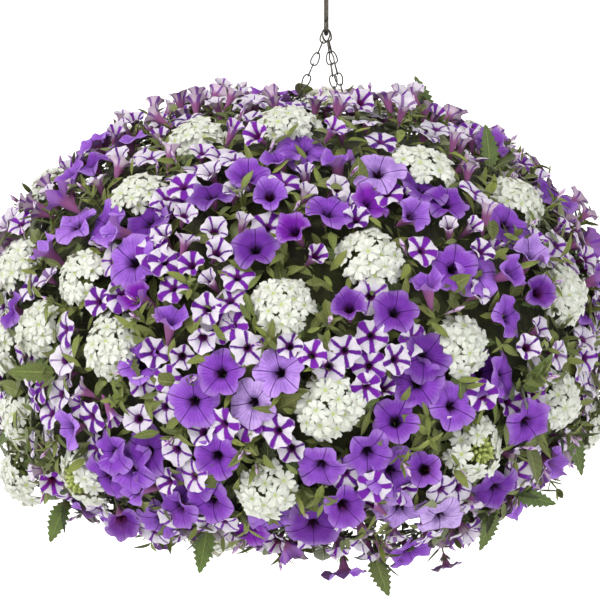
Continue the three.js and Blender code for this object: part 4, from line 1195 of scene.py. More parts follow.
def rod(name, path, radius, material):
    """A round rod along a path, with rounded ends, as a mesh in metres."""
    clear_selection()
    curve = bpy.data.curves.new(name, "CURVE")
    curve.dimensions = "3D"
    curve.bevel_depth = radius * MM
    curve.bevel_resolution = 4
    curve.use_fill_caps = True
    start, end = unit(path[0] - path[1]), unit(path[-1] - path[-2])
    rounding = ((0.95, 0.3), (0.7, 0.72))       # beyond an end: how far out and how thick, in radii
    full = [(path[0] + start * radius * out, share) for out, share in rounding]
    full += [(place, 1.0) for place in path]
    full += [(path[-1] + end * radius * out, share) for out, share in reversed(rounding)]
    spline = curve.splines.new("POLY")
    spline.points.add(len(full) - 1)
    for point, (place, share) in zip(spline.points, full):
        point.co = (*(place * MM), 1)
        point.radius = share
    obj = bpy.data.objects.new(name, curve)
    bpy.context.collection.objects.link(obj)
    bpy.context.view_layer.objects.active = obj
    obj.select_set(True)
    bpy.ops.object.convert(target="MESH")
    obj = bpy.context.object
    obj.data.materials.append(material)
    bpy.ops.object.shade_smooth()
    return obj


def hook_path():
    """Down the crook, the neck and the shaft, and round the eye."""
    crook_z = ROD_RADIUS - CROOK_RADIUS
    points = []
    angle = CROOK_TIP_ANGLE
    while angle >= 0:
        turn = math.radians(angle)
        points.append((CROOK_RADIUS * math.cos(turn), 0, crook_z + CROOK_RADIUS * math.sin(turn)))
        angle -= CROOK_STEP
    points += [(CROOK_RADIUS * out, 0, crook_z - CROOK_RADIUS * down) for out, down in NECK]
    eye_top = EYE_BOTTOM + 2 * EYE_RADIUS
    points += [(0, 0, SHAFT_TOP), (0, 0, (SHAFT_TOP + eye_top) / 2), (0, 0, eye_top + EYE_NECK)]
    for angle in range(0, EYE_END_ANGLE + 1, EYE_STEP):
        turn = math.radians(angle)
        points.append((0, EYE_RADIUS * math.sin(turn), eye_top - EYE_RADIUS + EYE_RADIUS * math.cos(turn)))
    return smooth_path(points, 5)


def link_form(half_length, half_width, taper, material):
    """A wire link: a ring drawn out along +Y into a rounded oval, narrower at its lower end."""
    clear_selection()
    ring = 10
    bpy.ops.mesh.primitive_torus_add(major_segments=24, minor_segments=8, major_radius=ring, minor_radius=1)
    obj = bpy.context.object
    x, y, z = points_of(obj).T
    angle = np.arctan2(y, x)
    off = np.hypot(x, y) - ring
    c, s = np.cos(angle), np.sin(angle)
    middle_x = half_width * np.sign(c) * np.abs(c) ** 0.8 * (1 + taper * s)
    middle_y = half_length * np.sign(s) * np.abs(s) ** 0.9
    out_x, out_y = c / half_width, s / half_length
    length = np.hypot(out_x, out_y)
    wire = LINK_WIRE * ROUND_WIRE
    move_points(obj, np.column_stack([middle_x + out_x / length * off * wire,
                                      middle_y + out_y / length * off * wire, z * wire]))
    obj.data.materials.append(material)
    return Form(obj, recalculate=True)


def make_chain(k, material):
    on_eye, in_rim, eye_along = strand_ends(k)
    down = unit(in_rim - on_eye)
    top = on_eye - down * (ROD_RADIUS + GAP + LINK_WIRE)
    bottom = in_rim + down * (POT_WALL / 2 + GAP + LINK_WIRE + RIM_PLAY)
    overlap = 2 * LINK_WIRE - LINK_BITE
    half_length = (np.linalg.norm(bottom - top) + (LINKS - 1) * overlap) / LINKS / 2
    first = unit(np.cross(down, eye_along))
    last = heading(STRAND_AZIMUTHS[k])
    last = unit(last - down * (last @ down))
    side = np.cross(down, first)
    off = 2 * (math.atan2(last @ side, last @ first) - (LINKS - 1) * math.pi / 2)
    spare = math.atan2(math.sin(off), math.cos(off)) / 2
    common = link_form(half_length, LINK_WIDTH, LINK_TAPER, material)
    wide = link_form(half_length, END_LINK_WIDTH, 0.0, material)
    strand = Copies()
    for n in range(LINKS):
        across = turned_about(first, down, n * (math.pi / 2 + spare / (LINKS - 1)))
        centre = top + down * (half_length + n * (2 * half_length - overlap))
        along = down if n // 2 % 2 else -down
        turn = np.column_stack([across, along, np.cross(across, along)])
        strand.put(wide if n in (0, LINKS - 1) else common, centre, turn)
    name = f"chain_{STRAND_NAMES[k]}"
    strand.finish(name, [f"chain_strand_{STRAND_NAMES[k]}"], "dark_steel")


# The pot, the soil and the leafy core

def turned_shell(name, segments, profile, material, rule=None):
    """A closed shape turned from (radius, height, axis x) steps. A rule may move its points."""
    obj = ringed_disc(name, segments, len(profile), close_rim=True)
    ring, angle = rings_and_angles(obj)
    radius, height, axis_x = np.array(profile, float).T
    points = ringed_points(radius[ring], angle, height[ring], axis_x[ring])
    if rule:
        points = np.array([rule(p, k) for p, k in zip(points, ring)])
    move_points(obj, points * MM)
    face_outwards()
    obj.data.materials.append(material)
    bpy.ops.object.shade_smooth_by_angle(angle=math.radians(40))
    return obj


def drill(obj, middle, radius):
    """A round upright hole through a piece, at a point in millimetres."""
    clear_selection()
    bpy.ops.mesh.primitive_cylinder_add(vertices=24, radius=radius * MM, depth=0.02, location=middle * MM)
    bit = bpy.context.object
    obj.select_set(True)
    bpy.context.view_layer.objects.active = obj
    bpy.ops.object.modifier_add(type="BOOLEAN")
    cut = obj.modifiers[-1]
    cut.object = bit
    cut.operation = "DIFFERENCE"
    bpy.ops.object.modifier_apply(modifier=cut.name)
    bpy.data.objects.remove(bit)


POT_BASE_Z, POT_FLOOR_Z = POT_RIM_Z - POT_HEIGHT, POT_RIM_Z - POT_HEIGHT + POT_WALL
GROOVE_STEP, GROOVE_DEPTH, GROOVE_HALF, GROOVES_END = 16, 0.7, 1.2, 20      # round the pot's wall
FOOT_LIFT = 1.2                     # how far the pot's underside is hollowed


def pot_wall(z, inset=0.0):
    """The radius of the pot's tapered wall at a height, less an inset."""
    slope = (POT_TOP_RADIUS - POT_BASE_RADIUS) / POT_HEIGHT
    return POT_BASE_RADIUS + slope * (z - POT_BASE_Z) - inset


def pot_profile():
    """From the middle of the floor up the inside, over the rim, down the grooved outside and under."""
    low, rim, under_rim = POT_BASE_Z, POT_RIM_Z, POT_RIM_Z - POT_WALL
    profile = [(1, POT_FLOOR_Z), (40, POT_FLOOR_Z), (pot_wall(POT_FLOOR_Z, POT_WALL + 4), POT_FLOOR_Z),
               (pot_wall(POT_FLOOR_Z + 4, POT_WALL), POT_FLOOR_Z + 4)]
    profile += [(pot_wall(z, POT_WALL), z) for z in (low + 60, low + 120, rim - 4)]
    profile += [(pot_wall(rim, 1.6), rim - 0.5), (POT_TOP_RADIUS + 1, rim), (POT_RIM_RADIUS - 1, rim),
                (POT_RIM_RADIUS, rim - 1), (POT_RIM_RADIUS, under_rim + 0.6),
                (POT_RIM_RADIUS - 0.8, under_rim), (pot_wall(under_rim), under_rim)]
    for z in range(rim - GROOVES_END, low + GROOVES_END, -GROOVE_STEP):
        profile += [(pot_wall(z + GROOVE_HALF), z + GROOVE_HALF), (pot_wall(z, GROOVE_DEPTH), z),
                    (pot_wall(z - GROOVE_HALF), z - GROOVE_HALF)]
    profile += [(pot_wall(low + 3), low + 3), (pot_wall(low, 3), low), (pot_wall(low, 12), low),
                (pot_wall(low, 14), low + FOOT_LIFT), (60, low + FOOT_LIFT), (1, low + FOOT_LIFT)]
    return [(radius, z, 0) for radius, z in profile]


def make_pot(material):
    pot = turned_shell("pot_shell", 96, pot_profile(), material)
    for azimuth in STRAND_AZIMUTHS:
        drill(pot, heading(azimuth) * RIM_HOLE_AT + UP * (POT_RIM_Z - 6), RIM_HOLE_RADIUS)
    for k in range(DRAIN_HOLES):
        out = heading(k * 360 / DRAIN_HOLES + 45) * DRAIN_RING_RADIUS
        drill(pot, out + UP * POT_BASE_Z, DRAIN_HOLE_RADIUS)
    as_piece(pot, ["pot"])


SOIL_RINGS = 24


def make_soil(material):
    """The compost in the pot, with a crumbly domed top."""
    floor = POT_FLOOR_Z + GAP
    top_radius = pot_wall(SOIL_TOP_Z) - POT_WALL - 1.5
    low_radius = pot_wall(floor) - POT_WALL - 5
    profile = []
    for k in range(SOIL_RINGS + 1):
        share = k / SOIL_RINGS
        profile.append((top_radius * k / SOIL_RINGS + 0.5, SOIL_TOP_Z + SOIL_CROWN * (1 - share ** 2), 0))
    profile += [(low_radius, floor, 0), (1, floor, 0)]

    def crumble(point, ring):
        if ring <= SOIL_RINGS:
            coarse, fine = noise.noise(Vector(point * 0.09)), noise.noise(Vector(point * 0.3))
            point[2] += 1.7 * coarse + 1.1 * fine - 1.2
        return point

    soil = turned_shell("soil_fill", 80, profile, material, crumble)
    as_piece(soil, ["potting_soil"])


def core_outside(depth, steps):
    """The leafy core's outside, from its top down to its mouth under the pot."""
    profile = []
    for k in range(steps + 1):
        angle = (0.5 - k / steps) * math.pi
        face = on_mound(np.array([MOUND_X + max(math.cos(angle), 0.004), 0, MOUND_Z + math.sin(angle)]))
        inner = face - mound_normal(face) * depth
        radius = max(inner[0] - MOUND_X, 1.0)
        if k > steps / 2 and radius < BELL_MOUTH_RADIUS + 26:
            break
        profile.append((radius, inner[2], MOUND_X))
    return profile


def core_inside(low):
    """The leafy core's hollow round the pot and the soil, from its mouth up."""
    under_rim = POT_RIM_Z - POT_WALL
    return [(BELL_MOUTH_RADIUS + 10, low + 4, -8), (BELL_MOUTH_RADIUS, low + 14, 0),
            (POT_BASE_RADIUS + 3, POT_BASE_Z, 0), (POT_TOP_RADIUS + 2, under_rim - 3, 0),
            (POT_RIM_RADIUS + 2, under_rim - 2, 0), (POT_RIM_RADIUS + 2, POT_RIM_Z + 3, 0),
            (POT_TOP_RADIUS - 8, POT_RIM_Z + 3, 0), (POT_TOP_RADIUS - 9, SOIL_TOP_Z + 8, 0),
            (1, SOIL_TOP_Z + 12, 0)]


def make_core(material):
    """A dark shell round the pot, in painted shade, which stands for the shaded tangle inside the growth.
    """
    outside = core_outside(CORE_DEPTH - 4, 44)
    profile = outside + core_inside(outside[-1][1])

    def lumps(point, ring):
        if ring >= len(outside):
            return point
        bulge = 7 * noise.noise(Vector(point * 0.022)) + 5 * abs(noise.noise(Vector(point * 0.07)))
        return point + mound_normal(on_mound(point)) * (bulge - 6)

    core = turned_shell("leafy_core", 120, profile, material, lumps)
    as_piece(core, PLANT_NODES)


# The growth

def leaf_turn(normal, draw, lie_back):
    """A leaf's own axes: along, across and up, lying back from upright by a share."""
    sideways = unit(turned_about(unit(np.cross(normal, UP + normal * 0.01)), normal, draw(0, 2 * math.pi)))
    along = unit(sideways * lie_back + normal * (1 - lie_back) * draw(0.6, 1.4) - UP * 0.12)
    top = unit(normal + sideways * draw(-0.5, 0.3))
    across = unit(np.cross(top, along))
    return np.column_stack([along, across, np.cross(along, across)])


def leaf_along(way, face_to):
    """A leaf's own axes, with its tip along a way and its upper face towards another."""
    along = unit(way)
    across = unit(np.cross(face_to, along))
    return np.column_stack([along, across, np.cross(along, across)])


BUD_STEPS = ((0.9, 0), (1.6, 5), (1.5, 11), (2.6, 17), (0.6, 24))
NARROW_LEAVES = ((9, 2, 3), (7, 2.5, 8), (8, -1, 5), (6, 1.5, -2))     # width, cup and droop
BROAD_LEAVES = ((20, 3, 6), (20, -2, 12))
SAW_LEAVES = ((27, 3, 7), (27, -2, 12))


def leaf_forms(looks):
    """The leaf shapes that the foliage repeats: narrow, broad and toothed ones, sepals, stalks and buds."""
    green, toothed_green, stem = looks["leaf"], looks["toothed"], looks["stem"]
    return {
        "leaf": [blade_form("leaf_form", LEAF_LENGTH, wide, ovate, 4, 2, cup, droop, green)
                 for wide, cup, droop in NARROW_LEAVES],
        "broad": [blade_form("broad_leaf_form", BROAD_LENGTH, wide, ovate, 5, 4, cup, droop, green)
                  for wide, cup, droop in BROAD_LEAVES],
        "saw": [blade_form("toothed_form", TOOTHED_LENGTH, wide, toothed, 2 * SAW_TEETH, 2, cup, droop,
                           toothed_green)
                for wide, cup, droop in SAW_LEAVES],
        "sepal": blade_form("sepal_form", 12, 3.4, ovate, 2, 2, 0.4, -2.5, green),
        "stalk": tube_form("stalk_form", 4, ((1.4, 0), (1.0, 1)), stem),
        "bud": tube_form("bud_form", 6, BUD_STEPS, looks["striped_back"]),
    }


class Growth:
    """The leaves, stalks and buds of one plant in the making."""

    def __init__(self, forms):
        self.copies, self.forms = Copies(), forms

    def put(self, form, place, pose, tone):
        self.copies.put(form, place, pose, tone)

    def calyx(self, middle, turn, tone, clear=2.6):
        """Five sepals round the foot of a flower, clear of its tube."""
        for k in range(5):
            out = turned_about(turn[:, 0], turn[:, 2], k * 2 * math.pi / 5)
            pose = leaf_along(turn[:, 2] + out * 0.38, out)
            self.put(self.forms["sepal"], middle + out * clear, pose, tone)

    def stalk(self, foot, head, tone=(0.5, 0.2, 0)):
        way = head - foot
        turn = frame_along(way)
        turn[:, 2] *= np.linalg.norm(way)
        self.put(self.forms["stalk"], foot, turn, tone)

    def bud(self, middle, turn, draw):
        self.put(self.forms["bud"], middle, turn * draw(0.7, 1.1), (draw(), 0.5, 0.5))
        self.calyx(middle, turn, (draw(), draw(0, 0.3), 0), 0.9)

    def sprig(self, foot, way, length, draw):
        """A leafy shoot that bends a little and ends in a tuft or a bud."""
        turn = frame_along(way, draw(0, 2 * math.pi))
        bend = turn[:, 0] * draw(-0.35, 0.35)
        steps = 3
        tip, heading_now = foot, unit(way)
        for k in range(steps):
            start = tip
            heading_now = unit(heading_now + bend / steps)
            tip = start + heading_now * length / steps
            self.stalk(start, tip, (draw(0.4, 1), draw(0, 0.4), 0))
            for side in (-1, 1):
                out = turned_about(turn[:, 1], heading_now, k * 1.3 + draw(-0.5, 0.5)) * side
                form = self.forms["leaf"][int(draw(0, 3.99))]
                pose = leaf_along(heading_now * draw(0.5, 1.1) + out, heading_now) * draw(0.65, 1.05)
                self.put(form, tip, pose, (draw(0.35, 1), draw(0, 0.6), 0))
        if draw() < 0.4:
            self.bud(tip, frame_along(heading_now), draw)

    def below_petunia(self, flower, draw):
        """The calyx and the stalk of a petunia."""
        middle, foot, normal, turn = flower.placed(LEAN)
        base = middle - turn[:, 2] * tube_length(flower)
        self.calyx(base - turn[:, 2] * 2, turn, (draw(), draw(0, 0.4), 0))
        self.stalk(foot + normal * 14, base)

    def below_verbena(self, flower, draw):
        """Four toothed leaves and the stalk of a verbena head."""
        middle, foot, normal, turn = flower.placed(LEAN)
        for k in range(4):
            out = turned_about(turn[:, 0], turn[:, 2], k * math.pi / 2 + draw(-0.5, 0.5))
            place = middle - normal * 17 + out * draw(8, 17)
            pose = leaf_along(out + turn[:, 2] * draw(-0.15, 0.35), turn[:, 2]) * draw(0.6, 0.95)
            self.put(self.forms["saw"][k % 2], place, pose, (draw(0, 0.8), draw(0, 0.25), 0))
        self.stalk(foot, middle - normal * 14)

    def toothed_leaves(self, flower, way, draw):
        """A large toothed leaf that points a given way in the picture, two more below it, and a stalk."""
        middle, foot, normal, _ = flower.placed(LEAN)
        _, forward, above = view_axes()
        along = np.array([math.cos(way), 0, 0]) + above * math.sin(way) + normal * 0.25
        pose = leaf_along(along, normal - forward * 0.8)
        self.put(self.forms["saw"][0], middle - normal * 9, pose, (draw(0.5, 1), draw(0, 0.3), 0))
        for k, form in enumerate(self.forms["saw"]):
            pose = leaf_turn(normal, draw, 0.35 + 0.2 * k) * 0.85
            self.put(form, middle - normal * (16 + 6 * k), pose, (draw(0, 0.8), draw(0, 0.3), 0))
        self.stalk(foot, middle - normal * 9)


class Cover:
    """The blooms, which hide what grows below them."""

    def __init__(self, flowers):
        blooms = [flower for flower in flowers if flower.kind in BLOOM_RADIUS]
        self.middles = np.array([flower.placed(LEAN)[0] for flower in blooms])
        self.reach = np.array([BLOOM_RADIUS[flower.kind] for flower in blooms])

    def hides(self, face, share):
        """Whether a point of the mound's face lies within a share of some bloom's radius."""
        shown = face + mound_normal(face) * lift_at(face)
        return (np.linalg.norm(self.middles - shown, axis=1) < self.reach * share).any()


def grow_below_flowers(flowers, plants):
    """Calyxes, stalks and leaves below the flowers, and the shoots that stand among them."""
    draw = Draw(SEED + 5)
    ways = iter(TOOTHED_WAYS)
    for flower in flowers:
        growth = plants[plant_of(flower.face)]
        if flower.kind in TUBE_LENGTH:
            growth.below_petunia(flower, draw)
        elif flower.kind == "verbena":
            growth.below_verbena(flower, draw)
        elif flower.kind == "toothed":
            growth.toothed_leaves(flower, math.radians(next(ways)), draw)
        else:
            middle, _, normal, _ = flower.placed(LEAN)
            way = normal + UP * 0.3 * math.copysign(1, normal[2])
            growth.sprig(middle - normal * 24, way, 34, draw)


def scatter_leaves(count, plants, cover):
    """Petunia leaves between the blooms, deeper where a bloom or a chain is over them, and darker in
    painted shade the deeper they lie.
    """
    forms = plants[0].forms
    for number, (face, loose) in enumerate(spread_over(count, SEED + 3, 7)):
        normal = mound_normal(face)
        turn = leaf_turn(normal, loose, loose(0.45, 1.0))
        is_broad, is_low = number % BROAD_EVERY == 0, normal[2] < LOW_SLOPE
        form = forms["broad"][number % 2] if is_broad else forms["leaf"][number % 4]
        size = BROAD_LENGTH if is_broad else LEAF_LENGTH
        under = cover.hides(face, 0.8) or cover.hides(face + turn[:, 0] * size * 0.6, 0.8)
        if under and number % 4 and not is_low:
            continue
        if under and any(cover.hides(face + turn[:, 0] * size * reached, 0.4) for reached in (0, 0.5, 1)):
            continue
        if under:
            depth = loose(18, 32)
        elif is_broad:
            depth = loose(9, 24)
        else:
            depth = loose(1, 34 if is_low else 22)
        if off_chains(face) < CHAINS_SEEN:
            depth += CHAIN_CLEARING
        pose = turn * loose(0.75, 1.25)
        # painted shade: the deeper a leaf lies in the growth, the darker its tone
        tone = (loose() ** 0.7 * (1 - depth / 36), loose(0, 0.5), 0)
        plants[plant_of(face)].put(form, face + normal * (lift_at(face) - depth), pose, tone)


def scatter_buds(count, plants, cover):
    """Petunia buds on short stalks between the blooms."""
    for face, loose in spread_over(count, SEED + 4, 12):
        if off_chains(face) < CHAINS_SEEN or cover.hides(face, 0.7):
            continue
        normal, growth = mound_normal(face), plants[plant_of(face)]
        turn = frame_along(normal + UP * 0.3 + heading(loose(0, 360)) * 0.7, loose(0, 6.28))
        middle = face + normal * (lift_at(face) - loose(0, 16))
        growth.bud(middle, turn, loose)
        growth.stalk(middle - turn[:, 2] * 30, middle)


def scatter_sprigs(count, plants, cover):
    """Leafy shoots between the blooms, which turn down under the mound."""
    for face, loose in spread_over(count, SEED + 6, 14):
        if off_chains(face) < CHAINS_SEEN or cover.hides(face, 0.9):
            continue
        normal = mound_normal(face)
        way = normal + UP * (0.35 if normal[2] > -0.2 else -0.5) + heading(loose(0, 360)) * 0.6
        foot = face + normal * (lift_at(face) - 24)
        plants[plant_of(face)].sprig(foot, way, loose(18, 34), loose)


def make_foliage(sizes, looks):
    """Leaves, flower stalks, calyxes, buds and sprigs, a piece for each plant."""
    flowers, more = all_flowers()
    forms = leaf_forms(looks)
    plants = [Growth(forms) for _ in range(PLANTS)]
    grow_below_flowers(flowers + more, plants)
    cover = Cover(flowers + more)
    scatter_leaves(sizes.leaf_count, plants, cover)
    scatter_buds(sizes.bud_count, plants, cover)
    scatter_sprigs(sizes.sprig_count, plants, cover)
    for k, growth in enumerate(plants):
        growth.copies.finish(f"foliage_{k + 1}", [PLANT_NODES[k]], "petunia_growth")


# The flowers

def tube_length(flower):
    """How far a petunia's base lies behind its middle."""
    return TUBE_LENGTH[flower.kind] * (LONG_TUBE if flower.long else 1.0)


def make_petunias(kind, form, looks):
    """The flowers of one kind, a piece for each plant."""
    face_look, back_look = looks[kind], looks[f"{kind}_back"]
    forms = [form(k, face_look, back_look) for k in range(OPEN_FORMS + LONG_FORMS[kind])]
    plants = [Copies() for _ in range(PLANTS)]
    draw = Draw(SEED + len(kind))
    flowers, more = all_flowers()
    for flower in flowers + more:
        middle, _, _, turn = flower.placed(LEAN)
        pick, shift, width, age = draw(), draw(-0.24, 0.24), draw(), draw()
        if flower.kind != kind:
            continue
        number = int(pick * (OPEN_FORMS - 0.3))
        if flower.long:
            number = OPEN_FORMS + int(pick * LONG_FORMS[kind])
        if kind == "violet":
            tone = (TONES[flower.tint] + shift, 0.85 if flower.tint == "m" else 0.0, age)
        else:
            tone = (0.5 + 2.0 * shift, width ** 1.3, 0.75 if age > 0.93 else 0.0)
        plants[plant_of(flower.face)].put(forms[number], middle, turn * flower.size, tone)
    for k, blooms in enumerate(plants):
        blooms.finish(f"{kind}_petunias_{k + 1}", [PLANT_NODES[k]], "petunia_growth")


FLORET_FORMS, SWELLS = 3, 5
DOME_RADIUS, DOME_HEIGHT, DOME_SINK = 31, 21, 10
BOSS_STEPS = ((5, -14), (15, -10), (21, -4), (19, 2), (11, 6), (3, 8))
GREEN_BUD_STEPS = ((1.1, 0), (1.5, 9), (2.2, 13), (0.7, 16))


def set_florets(copies, head, florets, count, bare, draw):
    """The florets of one dome. In a head that still opens the middle is left bare."""
    middle, _, _, turn = head.placed(HEAD_LEAN)
    swells = [draw(0.9, 1.1) for _ in range(SWELLS)]
    for k in range(count):
        high = 1 - (k + 0.5) / count * 0.93
        flat = math.sqrt(1 - high * high)
        bearing = k * GOLDEN_ANGLE + head.spin + draw(-0.25, 0.25)
        swell = swells[int(bearing / (2 * math.pi) * SWELLS) % SWELLS] * draw(0.93, 1.07)
        out = turn[:, 0] * math.cos(bearing) + turn[:, 1] * math.sin(bearing)
        rise = turn[:, 2] * (high * DOME_HEIGHT * swell - DOME_SINK)
        spot = middle + (out * flat * DOME_RADIUS * swell + rise) * head.size
        axis = out * flat * 0.9 + turn[:, 2] * (high * 1.3 + 0.25)
        axis = axis + turn[:, 0] * draw(-0.2, 0.2) + turn[:, 1] * draw(-0.2, 0.2)
        size, tone = draw(1.0, 1.2), (draw(), draw(), draw())
        if not bare or flat > OPEN_CENTRE:
            pose = frame_along(axis, draw(0, 6.28)) * size * head.size
            copies.put(florets[k % FLORET_FORMS], spot, pose, tone)


def set_green_buds(copies, head, bud, draw):
    """The green buds in the middle of a head that still opens."""
    middle, _, _, turn = head.placed(HEAD_LEAN)
    for k in range(BUD_SPOKES):
        high = 1 - (k + 0.5) / BUD_SPOKES * 0.72
        out = turned_about(turn[:, 0], turn[:, 2], k * GOLDEN_ANGLE)
        pose = frame_along(out * math.sqrt(1 - high * high) + turn[:, 2] * high) * (1.1 + 0.25 * draw())
        copies.put(bud, middle - turn[:, 2] * 5, pose, (0.5, 0.5, 0.5))


def make_verbena(sizes, looks):
    """Domes of white florets, a piece for each plant's share of heads."""
    florets = [floret_form(k, looks["floret"], looks["stem"]) for k in range(FLORET_FORMS)]
    boss = tube_form("boss_form", 12, BOSS_STEPS, looks["stem"])
    bud = tube_form("green_bud_form", 5, GREEN_BUD_STEPS, looks["bud"])
    plants = [Copies() for _ in range(PLANTS)]
    nodes = [[] for _ in range(PLANTS)]
    draw = Draw(SEED + 9)
    heads = [flower for flower in all_flowers()[0] if flower.kind == "verbena"]
    for number, head in enumerate(heads):
        middle, _, _, turn = head.placed(HEAD_LEAN)
        plant, still_opens = plant_of(head.face), number in OPEN_HEADS
        nodes[plant].append(f"verbena_head_{number + 1:02d}")
        plants[plant].put(boss, middle - turn[:, 2] * 7, turn * head.size)
        set_florets(plants[plant], head, florets, sizes.floret_count, still_opens, draw)
        if still_opens:
            set_green_buds(plants[plant], head, bud, draw)
    for k, blooms in enumerate(plants):
        blooms.finish(f"verbena_{k + 1}", nodes[k], "verbena_floret")


# The studio

def aim(obj, target):
    obj.rotation_euler = (Vector(target) - obj.location).to_track_quat("-Z", "Y").to_euler()


def soft_light(place, target, size, power, warmth=(1.0, 1.0, 1.0)):
    bpy.ops.object.light_add(type="AREA", location=place)
    light = bpy.context.object
    light.data.shape = "DISK"
    light.data.size = size
    light.data.energy = power
    light.data.color = warmth
    light.visible_camera = False
    aim(light, target)


PAPER_RINGS = 30


def make_paper(floor, material):
    """A round floor that bends up into a wall far behind the basket, in metres."""
    obj = ringed_disc("studio_floor", 96, PAPER_RINGS)
    ring, angle = rings_and_angles(obj)
    flat, bend, wall = 4.5, 2.4, 5.0
    way = ring / (PAPER_RINGS - 1) * (flat + bend * math.pi / 2 + wall)
    curl = np.clip((way - flat) / bend, 0, math.pi / 2)
    rest = np.maximum(way - flat - bend * math.pi / 2, 0)
    radius = np.minimum(way, flat) + bend * np.sin(curl)
    height = floor + bend * (1 - np.cos(curl)) + rest
    move_points(obj, ringed_points(radius, angle, height))
    obj.data.materials.append(material)
    bpy.ops.object.shade_smooth()
    obj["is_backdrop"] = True


def make_air(light):
    """White all round for the camera, and dimmer as a light."""
    world = bpy.context.scene.world or bpy.data.worlds.new("Studio air")
    bpy.context.scene.world = world
    world.use_nodes = True
    air = world.node_tree.nodes["Background"]
    air.inputs[0].default_value = (1, 1, 1, 1)
    w = Wiring(world.node_tree)
    seen = w.node("ShaderNodeLightPath").outputs["Is Camera Ray"]
    w.feed(air.inputs[1], w.maths("MAXIMUM", seen, light))


def make_stage(studio, looks):
    make_paper(studio.floor_height, looks["paper"])
    make_air(studio.air_light)
    middle = MOUND_CENTRE * MM
    soft_light(middle + np.array([-1.6, -2.0, 2.6]), middle, 1.4, studio.key_light, (1.0, 0.985, 0.96))
    soft_light(middle + np.array([2.2, -2.4, 0.6]), middle, 2.4, studio.fill_light, (0.95, 0.97, 1.0))
    soft_light(middle + np.array([0.4, 2.6, 2.2]), middle, 2.2, studio.back_light)
    eye, _, _ = view_axes()
    camera = bpy.data.objects.new("Camera", bpy.data.cameras.new("Camera"))
    bpy.context.collection.objects.link(camera)
    camera.location = eye * MM
    camera.data.sensor_width = 36
    camera.data.lens = 36 * VIEW_FOCAL / (2 * VIEW_MIDDLE)
    aim(camera, (MOUND_CENTRE + UP * VIEW_LIFT) * MM)
    bpy.context.scene.camera = camera
    bpy.context.scene.view_settings.view_transform = "Standard"


# What a user may change

def colour(name, description, *rgb):
    return FloatVectorProperty(name=name, description=description, subtype="COLOR", size=4, min=0, max=1,
                               default=linear(*rgb))


def count(name, description, default, least=0):
    return IntProperty(name=name, description=description, default=default, min=least)


def amount(name, description, default, **limits):
    return FloatProperty(name=name, description=description, default=default, **limits)


class BasketSizes(bpy.types.PropertyGroup):
    """How much grows on the mound"""
    leaf_count: count("Leaves", "Places for petunia leaves over the mound", 8600)
    bud_count: count("Buds", "Places for petunia buds over the mound", 160)
    sprig_count: count("Sprigs", "Places for leafy shoots over the mound", 360)
    floret_count: count("Florets", "Florets of each verbena head", 19, 8)


